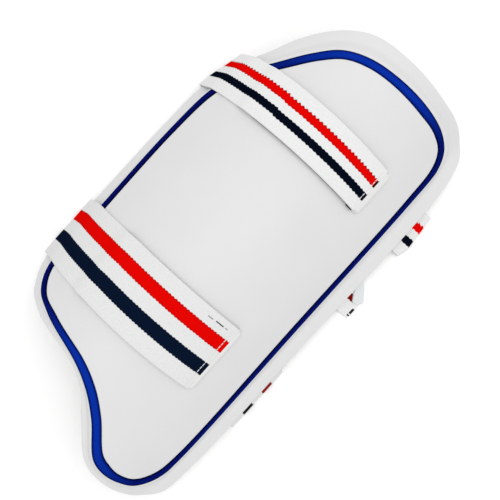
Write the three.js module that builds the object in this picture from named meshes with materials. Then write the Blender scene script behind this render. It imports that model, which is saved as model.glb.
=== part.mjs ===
// Cricket thigh pad: a moulded foam front on a soft padded back, bent round the thigh, with two striped
// elastic straps that go round behind the leg and close on the front. It lies front up on its straps.
// Millimetres, +Z up, +Y towards the hip. The pad is laid out flat in u (across) and v (along), with h the
// height above the mould line where front and back meet, and is then bent round the thigh.
import * as THREE from 'three';

const { degToRad, lerp, mapLinear, smoothstep } = THREE.MathUtils;

// Driving dimensions
const GAP = 0.3; // clearance between neighbouring pieces
const SHELL_HEIGHT = 10; // plateau of the front above the mould line
const FLANGE_HEIGHT = 4; // thin flange round the plateau
const BACK_DEPTH = 5; // padded back below the mould line
const LINE_WIDTH = 7; // blue band along the edge of the plateau
const LINE_FLARE = 0.6; // share by which the band's inner half is wider where it leans down the sides
const GROOVE_DEPTH = 1.6; // groove that the band lies in
const OUTER_LIP = 0.8; // groove's outer lip below the plateau
const INNER_LIP = 0.3; // groove's inner lip below the plateau
const BAND_CROWN = 0.2; // band stands proud of the plateau
const SHOULDER_DROP = 2.8; // shoulder outside the groove below the plateau
const FLANGE_RISE = 0.6; // flange rises to the foot of the shoulder
const EDGE_ROUND = 1.2; // rounding of the flange's rim
const BACK_OVERHANG = 0.5; // padded back stands out past the flange
const ELASTIC = 1.8; // thickness of the straps
const TAPE = 1.2; // thickness of the hook tape
const PATCH = 1; // thickness of the loop patch
const PATCH_MARGIN = 2; // loop patch is smaller than the tape all round
const SEWN_LENGTH = 26; // strap end sewn under the right flange
const RIM_CLEARANCE = 1; // straps pass this far under the left rim
const WRAP_CUT = 8; // a strap rounds the left edge from this far before it to this far after
const LANDING = 90; // a strap comes down to the floor this far behind the left edge
const TAPE_RAMP = 9; // a strap starts to come down this far past the tape, and is down in as much again
const EDGE_STIFFNESS = 0.35; // how far a strap keeps its left end straight where the pad's edge slants
const CORNER_CUT = 2; // cut corners of the hook tape's tab

// Stations round the flat pad, clockwise from the top: the edge, and the middle of the blue line
const STATIONS = [
  { edgeU: 16, edgeV: 187, lineU: 20, lineV: 166 },
  { edgeU: 60, edgeV: 188.5, lineU: 52, lineV: 168.5 },
  { edgeU: 98, edgeV: 188.5, lineU: 75, lineV: 168 },
  { edgeU: 120, edgeV: 178, lineU: 93, lineV: 162.5 },
  { edgeU: 128, edgeV: 156, lineU: 102.5, lineV: 150 },
  { edgeU: 131, edgeV: 120, lineU: 106, lineV: 118 },
  { edgeU: 129.5, edgeV: -20, lineU: 106.5, lineV: -20 },
  { edgeU: 127.5, edgeV: -172, lineU: 105.5, lineV: -168 },
  { edgeU: 122, edgeV: -204, lineU: 99, lineV: -189 },
  { edgeU: 106, edgeV: -214.5, lineU: 85, lineV: -200 },
  { edgeU: 81, edgeV: -216, lineU: 68, lineV: -202 },
  { edgeU: 54, edgeV: -211.5, lineU: 53, lineV: -199.5 },
  { edgeU: 38, edgeV: -204, lineU: 42, lineV: -194 },
  { edgeU: 16, edgeV: -180.5, lineU: 22, lineV: -170 },
  { edgeU: 0, edgeV: -163, lineU: 5.5, lineV: -155.5 },
  { edgeU: -20, edgeV: -153, lineU: -14.5, lineV: -145.5 },
  { edgeU: -68, edgeV: -148.5, lineU: -53, lineV: -138.5 },
  { edgeU: -102, edgeV: -140.5, lineU: -76, lineV: -133 },
  { edgeU: -118, edgeV: -122, lineU: -91.5, lineV: -117 },
  { edgeU: -121, edgeV: -70, lineU: -92.5, lineV: -66 },
  { edgeU: -120, edgeV: 30, lineU: -92.5, lineV: 30 },
  { edgeU: -114, edgeV: 79, lineU: -85.5, lineV: 75 },
  { edgeU: -96, edgeV: 104, lineU: -68, lineV: 100 },
  { edgeU: -73, edgeV: 127, lineU: -48, lineV: 123 },
  { edgeU: -57, edgeV: 149, lineU: -33, lineV: 141 },
  { edgeU: -36, edgeV: 170, lineU: -19, lineV: 154.5 },
  { edgeU: -13, edgeV: 183, lineU: -2, lineV: 162 },
];
const STEPS_PER_STATION = 3;
// Middle line of the plateau, shorter than the plateau itself: its place, and how far its two ends turn right
const SPINE = { u: 7, squeeze: 0.7, straight: 40, top: 45, topV: 168, bottom: 60, bottomV: -202 };

// Cross-section of the mould line, from the crest outwards, as arcs: length in mm, turn in degrees
const BEND_RIGHT = [
  { length: 84, turn: 46 },
  { length: 22, turn: 0 },
  { length: 14, turn: -42 },
  { length: 60, turn: 0 },
];
const BEND_LEFT = [
  { length: 97, turn: 54 },
  { length: 8, turn: -8 },
  { length: 60, turn: 0 },
];

// Straps: centre and width along v, ends of the elastic, the tab and the tape along u, how far the fold
// stands out past the right edge, and how far the left end and the sewn end lie from the front run along v
const STRAPS = [
  { name: 'upper', v: 95, width: 40, endU: 59, tabU: 66, tapeU: -37, reach: 11, slide: 3, sewn: 8 },
  { name: 'lower', v: -80.5, width: 60, endU: 56, tabU: 61, tapeU: -37, reach: 3, slide: -4.5, sewn: -8 },
];
const STRAP_COLUMNS = [-0.5, -0.17, 0.17, 0.5];
const FRONT_STEPS = 22;
const TAPE_STEPS = 16;
const FLOOR_STEPS = 2;
const ROUND_STEPS = 6;

// End of the third elastic: centre and width along v, and its free edge past the right flange by column
const EDGE_TAB = { v: 29, width: 34 };
const EDGE_TAB_REACH = [
  { across: -0.5, reach: 14 },
  { across: -0.1, reach: 14 },
  { across: 0.08, reach: 13.5 },
  { across: 0.5, reach: 0.5 },
];

// Sections from the middle of the underside, round the rim, to the middle of the top. Zones: core is the
// share of the way from the band to the spine, flange the share from the edge to the band, edge the inset
// from the edge, and band the distance from the middle of the blue line, outwards.
const SEAM = [
  { zone: 'core', at: 0.92 },
  { zone: 'core', at: 0.7 },
  { zone: 'core', at: 0.48 },
  { zone: 'core', at: 0.26 },
  { zone: 'core', at: 0.06 },
  { zone: 'flange', at: 0.5 },
  { zone: 'edge', at: EDGE_ROUND },
];
const SHELL_TOP = [
  { zone: 'edge', at: 0, h: EDGE_ROUND },
  { zone: 'edge', at: 0, h: FLANGE_HEIGHT - EDGE_ROUND },
  { zone: 'edge', at: EDGE_ROUND, h: FLANGE_HEIGHT },
  { zone: 'flange', at: 0.45, h: FLANGE_HEIGHT },
  { zone: 'flange', at: 0.75, h: FLANGE_HEIGHT + FLANGE_RISE },
  { zone: 'flange', at: 0.92, h: SHELL_HEIGHT - SHOULDER_DROP },
  { zone: 'band', at: LINE_WIDTH / 2 + GAP, h: SHELL_HEIGHT - OUTER_LIP },
  { zone: 'band', at: LINE_WIDTH / 2, h: SHELL_HEIGHT - OUTER_LIP - GROOVE_DEPTH },
  { zone: 'band', at: -LINE_WIDTH / 2, h: SHELL_HEIGHT - INNER_LIP - GROOVE_DEPTH },
  { zone: 'band', at: -LINE_WIDTH / 2 - GAP, h: SHELL_HEIGHT - INNER_LIP },
  { zone: 'core', at: 0.06, h: SHELL_HEIGHT },
  { zone: 'core', at: 0.26, h: SHELL_HEIGHT },
  { zone: 'core', at: 0.48, h: SHELL_HEIGHT },
  { zone: 'core', at: 0.7, h: SHELL_HEIGHT },
  { zone: 'core', at: 0.92, h: SHELL_HEIGHT },
];
const BACK_RIM = [
  { zone: 'edge', at: -BACK_OVERHANG, h: -GAP - EDGE_ROUND },
  { zone: 'edge', at: -BACK_OVERHANG, h: EDGE_ROUND - BACK_DEPTH },
  { zone: 'edge', at: 2 * EDGE_ROUND, h: -BACK_DEPTH },
];
const BAND_SECTION = [
  { zone: 'band', at: LINE_WIDTH / 2 - GAP, h: SHELL_HEIGHT - OUTER_LIP - GROOVE_DEPTH + 2 * GAP },
  { zone: 'band', at: LINE_WIDTH / 2 - GAP, h: SHELL_HEIGHT - OUTER_LIP },
  { zone: 'band', at: LINE_WIDTH / 5, h: SHELL_HEIGHT },
  { zone: 'band', at: -LINE_WIDTH / 5, h: SHELL_HEIGHT + BAND_CROWN },
  { zone: 'band', at: GAP - LINE_WIDTH / 2, h: SHELL_HEIGHT - INNER_LIP },
  { zone: 'band', at: GAP - LINE_WIDTH / 2, h: SHELL_HEIGHT - INNER_LIP - GROOVE_DEPTH + 2 * GAP },
];

// Follows a cross-section table for a distance: place and slope there
function follow(arcs, distance) {
  let [x, z, angle, left] = [0, 0, 0, distance];
  for (const { length, turn } of arcs) {
    const run = Math.min(left, length);
    const swing = (degToRad(turn) * run) / length;
    const half = swing / 2;
    const chord = half ? (run * Math.sin(half)) / half : run;
    x += chord * Math.cos(angle + half);
    z -= chord * Math.sin(angle + half);
    angle += swing;
    left -= run;
  }
  return { x, z, angle };
}

// Bends a point of the flat pad round the thigh
function bend(u, v, h) {
  const side = u < 0 ? -1 : 1;
  const { x, z, angle } = follow(side < 0 ? BEND_LEFT : BEND_RIGHT, Math.abs(u));
  return new THREE.Vector3(side * (x + h * Math.sin(angle)), v, z + h * Math.cos(angle));
}

// Smooth closed outline through one pair of columns of the stations
function outline(columnU, columnV) {
  const points = STATIONS.map((row) => new THREE.Vector3(row[columnU], row[columnV], 0));
  const curve = new THREE.CatmullRomCurve3(points, true, 'centripetal');
  const count = STATIONS.length * STEPS_PER_STATION;
  return Array.from({ length: count }, (_, i) => curve.getPoint(i / count));
}

// How far the mould line leans down a side: 0 on the crest, 1 where it is steep
function lean(u) {
  const { angle } = follow(u < 0 ? BEND_LEFT : BEND_RIGHT, Math.abs(u));
  return smoothstep(angle, degToRad(6), degToRad(44));
}

const edge = outline('edgeU', 'edgeV');
const line = outline('lineU', 'lineV');

// Where an outline crosses height v, on one side of the spine
function crossing(points, v, side) {
  const found = points.find((a, i) => {
    const b = points[(i + 1) % points.length];
    return side * (a.x - SPINE.u) > 0 && (a.y - v) * (b.y - v) <= 0;
  });
  const next = points[(points.indexOf(found) + 1) % points.length];
  return mapLinear(v, found.y, next.y, found.x, next.x);
}

// Point of the spine that belongs to height v of the blue line
function spineAt(v) {
  const top = SPINE.top * smoothstep(v, SPINE.straight, SPINE.topV);
  const bottom = SPINE.bottom * smoothstep(-v, SPINE.straight, -SPINE.bottomV);
  return new THREE.Vector3(SPINE.u + top + bottom, v * SPINE.squeeze, 0);
}

// One ring of flat points for a row of a section table
function ring({ zone, at }) {
  return line.map((middle, i) => {
    const out = edge[i].clone().sub(middle).normalize();
    const flare = 1 + LINE_FLARE * lean(middle.x);
    const fromLine = (distance) => middle.clone().addScaledVector(out, distance * (distance < 0 ? flare : 1));
    const spine = spineAt(middle.y);
    const zones = {
      edge: () => edge[i].clone().addScaledVector(out, -at),
      flange: () => edge[i].clone().lerp(fromLine(LINE_WIDTH / 2), at),
      band: () => fromLine(at),
      core: () => fromLine(-LINE_WIDTH / 2).lerp(spine, at),
    };
    return zones[zone]();
  });
}

function geometryOf(points, triangles) {
  const geometry = new THREE.BufferGeometry().setFromPoints(points);
  geometry.setIndex(triangles.flat());
  geometry.computeVertexNormals();
  return geometry;
}

// Lofts rings of the bent pad, from the underside to the top or the other way; a closed section joins its
// last ring to its first, an open one is capped at both ends
function loft(rows, { closed = false, downwards = false }) {
  const flats = rows.map(ring);
  const count = line.length;
  const points = rows.flatMap(({ h }, r) => flats[r].map(({ x, y }) => bend(x, y, h)));
  const triangles = [];
  const bands = closed ? rows.length : rows.length - 1;
  for (let r = 0; r < bands; r++) {
    const lower = r * count;
    const upper = ((r + 1) % rows.length) * count;
    for (let i = 0; i < count; i++) {
      const j = (i + 1) % count;
      triangles.push([lower + i, upper + i, upper + j], [lower + i, upper + j, lower + j]);
    }
  }
  if (!closed) {
    const contour = (flat) => flat.map(({ x, y }) => new THREE.Vector2(x, y));
    const cap = (flat) => THREE.ShapeUtils.triangulateShape(contour(flat), []);
    const top = (rows.length - 1) * count;
    triangles.push(...cap(flats[0]).map(([a, b, c]) => [a, c, b]));
    triangles.push(...cap(flats.at(-1)).map(([a, b, c]) => [top + a, top + b, top + c]));
  }
  return geometryOf(points, downwards ? triangles.map(([a, b, c]) => [a, c, b]) : triangles);
}

// Flat band as a closed solid, from the columns of its middle surface
function band(columns, thickness) {
  const steps = columns[0].length;
  const side = (sign) =>
    columns.flatMap((column) =>
      column.map((point, i) => {
        const along = column[Math.min(i + 1, steps - 1)].clone().sub(column[Math.max(i - 1, 0)]);
        const normal = new THREE.Vector3(along.z, 0, -along.x).normalize();
        return point.clone().addScaledVector(normal, (sign * thickness) / 2);
      }),
    );
  const points = [...side(1), ...side(-1)];
  const under = columns.length * steps;
  const at = (column, step) => column * steps + step;
  const triangles = [];
  const quad = (a, b, c, d) => triangles.push([a, b, c], [a, c, d]);
  for (let s = 0; s + 1 < steps; s++) {
    for (let c = 0; c + 1 < columns.length; c++) {
      quad(at(c, s), at(c + 1, s), at(c + 1, s + 1), at(c, s + 1));
      quad(under + at(c, s), under + at(c, s + 1), under + at(c + 1, s + 1), under + at(c + 1, s));
    }
    const last = columns.length - 1;
    quad(at(0, s), at(0, s + 1), under + at(0, s + 1), under + at(0, s));
    quad(at(last, s), under + at(last, s), under + at(last, s + 1), at(last, s + 1));
  }
  for (let c = 0; c + 1 < columns.length; c++) {
    const end = steps - 1;
    quad(at(c, 0), under + at(c, 0), under + at(c + 1, 0), at(c + 1, 0));
    quad(at(c, end), at(c + 1, end), under + at(c + 1, end), under + at(c, end));
  }
  return geometryOf(points, triangles);
}

const steps = (count, from, to) =>
  Array.from({ length: count + 1 }, (_, i) => lerp(from, to, i / count));

// Heights of the layers on the plateau and under the right flange
const patchMiddle = SHELL_HEIGHT + GAP + PATCH / 2;
const tapeMiddle = SHELL_HEIGHT + 2 * GAP + PATCH + TAPE / 2;
const strapMiddle = SHELL_HEIGHT + GAP + ELASTIC / 2;
const tapeLift = PATCH + TAPE + 2 * GAP;
const sewnMiddle = -BACK_DEPTH - GAP - ELASTIC / 2;
const leftRim = bend(Math.min(...edge.map(({ x }) => x)) + EDGE_ROUND, 0, -BACK_DEPTH);
const rightRim = bend(Math.max(...edge.map(({ x }) => x)), 0, -BACK_DEPTH);
const floorMiddle = Math.min(leftRim.z, rightRim.z - GAP - ELASTIC) - RIM_CLEARANCE - ELASTIC / 2;

// Run sewn under the right flange, from near the edge inwards
function sewnRun(edgeU, v) {
  return steps(ROUND_STEPS, edgeU - 2 * EDGE_ROUND, edgeU - SEWN_LENGTH).map((u) => bend(u, v, sewnMiddle));
}

// One column of a strap: over the front, round the left edge, flat behind the leg, folded at the right
function strapColumn(strap, across) {
  const v = strap.v + across * strap.width;
  const leftV = v + strap.slide;
  const sewnV = v + strap.sewn;
  const lift = (u) => tapeLift * smoothstep(u, strap.tapeU - 2 * TAPE_RAMP, strap.tapeU - TAPE_RAMP);
  const leftSide = (points) => {
    const own = crossing(points, leftV, -1);
    const outermost = Math.min(own, crossing(points, strap.v + strap.slide - strap.width / 2, -1));
    return lerp(own, outermost, EDGE_STIFFNESS);
  };
  const shoulderU = leftSide(line) - LINE_WIDTH / 2;
  const slide = (u) => strap.slide * Math.max(0, mapLinear(u, strap.tapeU, leftSide(edge), 0, 1));
  const front = steps(FRONT_STEPS, strap.endU, shoulderU).map((u) =>
    bend(u, v + slide(u), strapMiddle + lift(u)),
  );

  const shoulder = front.at(-1);
  const tip = bend(leftSide(edge), leftV, FLANGE_HEIGHT + 2 * GAP + ELASTIC / 2);
  const rim = bend(leftSide(edge) + EDGE_ROUND, leftV, -BACK_DEPTH);
  const wrapZ = Math.max(floorMiddle, rim.z - RIM_CLEARANCE - ELASTIC / 2);
  const corner = shoulder.clone().lerp(tip, (shoulder.z - wrapZ) / (shoulder.z - tip.z));
  const landing = new THREE.Vector3(corner.x + LANDING, corner.y, floorMiddle);
  const before = corner.clone().lerp(shoulder, WRAP_CUT / corner.distanceTo(shoulder));
  const after = corner.clone().lerp(landing, WRAP_CUT / LANDING);
  const wrap = new THREE.QuadraticBezierCurve3(before, corner, after).getPoints(ROUND_STEPS);

  const edgeU = crossing(edge, sewnV, 1);
  const sewn = sewnRun(edgeU, sewnV);
  const foldRadius = (sewn[0].z - floorMiddle) / 2;
  const foldX = bend(edgeU, sewnV, 0).x + strap.reach - foldRadius;
  const foldZ = floorMiddle + foldRadius;
  const fold = steps(ROUND_STEPS, -Math.PI / 2, Math.PI / 2).map((turn) => {
    const [x, z] = [foldRadius * Math.cos(turn), foldRadius * Math.sin(turn)];
    return new THREE.Vector3(foldX + x, sewnV, foldZ + z);
  });
  const floor = steps(FLOOR_STEPS, 0, 1).map((share) => landing.clone().lerp(fold[0], share));
  return [...front, ...wrap, ...floor.slice(0, -1), ...fold, ...sewn];
}

// Plate that follows the plateau between two places along u, with its right corners cut
function plateauPlate(strap, startU, endU, width, middle, thickness, cut) {
  const columns = [-0.5, cut / width - 0.5, 0, 0.5 - cut / width, 0.5].map((across) => {
    const start = startU - (Math.abs(across) === 0.5 ? cut : 0);
    return steps(TAPE_STEPS, start, endU).map((u) => bend(u, strap.v + across * width, middle));
  });
  return band(columns, thickness);
}

// End of the third elastic, sewn under the right flange and lying on the floor outside it
function edgeTab() {
  const columns = EDGE_TAB_REACH.map(({ across, reach }) => {
    const v = EDGE_TAB.v + across * EDGE_TAB.width;
    const edgeU = crossing(edge, v, 1);
    const sewn = sewnRun(edgeU, v);
    const endX = bend(edgeU, v, 0).x + reach;
    const free = steps(ROUND_STEPS, 1, 0).map((share) => {
      const drop = smoothstep(share, 0, 1);
      const x = lerp(sewn[0].x, endX, share);
      return new THREE.Vector3(x, v, lerp(sewn[0].z, floorMiddle, drop));
    });
    return [...free.slice(0, -1), ...sewn];
  });
  return band(columns, ELASTIC);
}

function piece(name, geometry, finish) {
  const material = new THREE.MeshStandardMaterial({ ...finish, metalness: 0 });
  const mesh = new THREE.Mesh(geometry, material);
  mesh.name = name;
  return mesh;
}

const FACING = { color: 0xe6e6e6, roughness: 0.5 };
const BACK_COVER = { color: 0xe6e6e6, roughness: 0.9 };
const BLUE_INLAY = { color: 0x1038b8, roughness: 0.4 };
const WOVEN_ELASTIC = { color: 0xf2f3f2, roughness: 0.9 };
const HOOK_TAPE = { color: 0xf6f6f4, roughness: 0.7 };
const LOOP_PATCH = { color: 0xf6f6f4, roughness: 0.95 };

const seamAt = (h) => SEAM.map((row) => ({ ...row, h }));
const shellRows = [...seamAt(0), ...SHELL_TOP];
const backRows = [...seamAt(-GAP), ...BACK_RIM, ...seamAt(-BACK_DEPTH).slice(0, -1).toReversed()];

const pad = new THREE.Group();
pad.add(piece('front_shell', loft(shellRows, {}), FACING));
pad.add(piece('back_pad', loft(backRows, { downwards: true }), BACK_COVER));
pad.add(piece('blue_line', loft(BAND_SECTION, { closed: true }), BLUE_INLAY));
for (const strap of STRAPS) {
  const columns = STRAP_COLUMNS.map((across) => strapColumn(strap, across));
  const patchWidth = strap.width - 2 * PATCH_MARGIN;
  const patchStart = strap.tabU - PATCH_MARGIN;
  const patchEnd = strap.tapeU + PATCH_MARGIN;
  const tape = plateauPlate(strap, strap.tabU, strap.tapeU, strap.width, tapeMiddle, TAPE, CORNER_CUT);
  const patch = plateauPlate(strap, patchStart, patchEnd, patchWidth, patchMiddle, PATCH, CORNER_CUT);
  pad.add(piece(`${strap.name}_strap`, band(columns, ELASTIC), WOVEN_ELASTIC));
  pad.add(piece(`${strap.name}_hook_tape`, tape, HOOK_TAPE));
  pad.add(piece(`${strap.name}_loop_patch`, patch, LOOP_PATCH));
}
pad.add(piece('edge_tab', edgeTab(), WOVEN_ELASTIC));

// Origin at the middle of the underside of the whole pad
const box = new THREE.Box3().setFromObject(pad);
const middle = box.getCenter(new THREE.Vector3());
pad.position.set(-middle.x, -middle.y, -box.min.z);

export default pad;
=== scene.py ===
"""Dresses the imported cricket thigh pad, which lies front up on its straps.

Sizes are millimetres on the pad laid out flat, with u across, v along and h above the mould line where
the front and the back meet. PadLayout bends the flat pad round the thigh and puts it in the frame, in
metres.
"""

import logging
import math
from collections.abc import Callable, Sequence
from dataclasses import dataclass, field
from enum import Enum
from typing import Any

import bmesh
import bpy
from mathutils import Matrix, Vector, noise


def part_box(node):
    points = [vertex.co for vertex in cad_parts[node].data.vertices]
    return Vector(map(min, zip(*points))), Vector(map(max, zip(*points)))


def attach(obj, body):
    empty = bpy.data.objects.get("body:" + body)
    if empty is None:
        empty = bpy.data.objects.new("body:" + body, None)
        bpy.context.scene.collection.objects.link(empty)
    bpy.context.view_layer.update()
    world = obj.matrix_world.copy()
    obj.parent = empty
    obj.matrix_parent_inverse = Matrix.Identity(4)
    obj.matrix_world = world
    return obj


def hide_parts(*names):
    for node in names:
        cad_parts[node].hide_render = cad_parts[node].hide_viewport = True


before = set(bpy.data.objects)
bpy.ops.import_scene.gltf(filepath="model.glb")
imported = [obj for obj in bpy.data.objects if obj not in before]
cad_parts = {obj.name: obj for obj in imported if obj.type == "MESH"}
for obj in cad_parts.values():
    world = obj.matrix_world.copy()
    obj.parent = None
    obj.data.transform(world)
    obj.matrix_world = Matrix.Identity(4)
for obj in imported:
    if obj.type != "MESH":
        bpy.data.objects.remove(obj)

MM = 0.001
BODY = "root"
LOG = logging.getLogger("thigh_pad")
SMOOTH_ANGLE = math.radians(50)
CORNER_ANGLE = math.radians(60)
# How much of its thickness is rounded off a band's edges and a thread's ends.
BAND_ROUND = 0.35
THREAD_ROUND = 0.4
# Where a flat side has rows, from near the spine to near the rim.
FLAT_CORE = (0.8, 0.6, 0.4, 0.2, 0.05)
FLAT_FLANGE = (0.7, 0.4)
# How far up a face of a tape points, at least, if it is on the tape's woven side.
WOVEN_SIDE = 0.35
# A Mix node's sockets of all kinds share their names, so its two colours and its result go by number.
MIX_A = 6
MIX_B = 7
MIXED = 2


class Zone(Enum):
    """Where a row of a section is measured from."""

    EDGE = "inset from the edge"
    FLANGE = "share of the way from the edge to the blue line"
    LINE = "distance outwards from the middle of the blue line"
    CORE = "share of the way from the blue line to the spine"
    SPINE = "the spine itself, where the two sides of the pad meet"


@dataclass(frozen=True)
class Station:
    """A place round the flat pad: its edge, and the middle of the blue line."""

    edge_u: float
    edge_v: float
    line_u: float
    line_v: float


@dataclass(frozen=True)
class Arc:
    """A stretch of the cross-section: its length, and how many degrees it turns down."""

    length: float
    turn: float


@dataclass(frozen=True)
class Row:
    """A row of a section: its zone, its place in that zone and its height."""

    zone: Zone
    at: float
    h: float


@dataclass(frozen=True)
class Layers:
    """Thicknesses and heights of the pad's layers."""

    gap: float = 0.3
    plateau: float = 10.0
    flange: float = 4.0
    back: float = 5.0
    elastic: float = 1.8
    tape: float = 1.2
    patch: float = 1.0
    edge_round: float = 1.2
    overhang: float = 0.5
    rim_clearance: float = 1.0
    sewn_length: float = 26.0

    @property
    def patch_middle(self) -> float:
        """Height of the middle of a loop patch."""
        return self.plateau + self.gap + self.patch / 2

    @property
    def tape_middle(self) -> float:
        """Height of the middle of a hook tape."""
        return self.plateau + 2 * self.gap + self.patch + self.tape / 2

    @property
    def strap_middle(self) -> float:
        """Height of the middle of a strap that lies on the plateau."""
        return self.plateau + self.gap + self.elastic / 2

    @property
    def tape_lift(self) -> float:
        """How far a tape and its patch lift a strap."""
        return self.patch + self.tape + 2 * self.gap

    @property
    def sewn_middle(self) -> float:
        """Height of the middle of an elastic sewn under the back."""
        return -self.back - self.gap - self.elastic / 2


LAYERS = Layers()

STATIONS = (
    Station(16, 187, 20, 166),
    Station(60, 188.5, 52, 168.5),
    Station(98, 188.5, 75, 168),
    Station(120, 178, 93, 162.5),
    Station(128, 156, 102.5, 150),
    Station(131, 120, 106, 118),
    Station(129.5, -20, 106.5, -20),
    Station(127.5, -172, 105.5, -168),
    Station(122, -204, 99, -189),
    Station(106, -214.5, 85, -200),
    Station(81, -216, 68, -202),
    Station(54, -211.5, 53, -199.5),
    Station(38, -204, 42, -194),
    Station(16, -180.5, 22, -170),
    Station(0, -163, 5.5, -155.5),
    Station(-20, -153, -14.5, -145.5),
    Station(-68, -148.5, -53, -138.5),
    Station(-102, -140.5, -76, -133),
    Station(-118, -122, -91.5, -117),
    Station(-121, -70, -92.5, -66),
    Station(-120, 30, -92.5, 30),
    Station(-114, 79, -85.5, 75),
    Station(-96, 104, -68, 100),
    Station(-73, 127, -48, 123),
    Station(-57, 149, -33, 141),
    Station(-36, 170, -19, 154.5),
    Station(-13, 183, -2, 162),
)


def lerp(start: float, stop: float, share: float) -> float:
    """Goes a share of the way from start to stop."""
    return start + (stop - start) * share


def smoothstep(value: float, low: float, high: float) -> float:
    """Rises smoothly from 0 at low to 1 at high."""
    share = min(1.0, max(0.0, (value - low) / (high - low)))
    return share * share * (3 - 2 * share)


def spread(count: int, start: float, stop: float) -> list[float]:
    """Gives count + 1 values at even steps from start to stop."""
    return [lerp(start, stop, i / count) for i in range(count + 1)]


def between(start: Vector, stop: Vector, count: int) -> list[Vector]:
    """Gives count points at even steps after start, up to stop."""
    return [start.lerp(stop, share) for share in spread(count, 0, 1)[1:]]


def trace(corners: Sequence[Vector], share: float) -> Vector:
    """Finds a place on a line of corners.

    Args:
        corners: the corners, in order.
        share: share of the way along the line, with each stretch counted alike.

    Returns:
        The place.
    """
    spans = len(corners) - 1
    span = min(spans - 1, int(share * spans))
    return corners[span].lerp(corners[span + 1], share * spans - span)


def soften(points: Sequence[Vector], reach: int) -> list[Vector]:
    """Rounds the kinks of a path.

    Args:
        points: the path, at about even steps.
        reach: how many neighbours on each side a point is averaged with.

    Returns:
        The rounded path, with its ends where they were.
    """
    rounded = []
    for i in range(len(points)):
        span = min(reach, i, len(points) - 1 - i)
        near = points[i - span : i + span + 1]
        rounded.append(sum(near, Vector()) / len(near))
    return rounded


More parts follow.
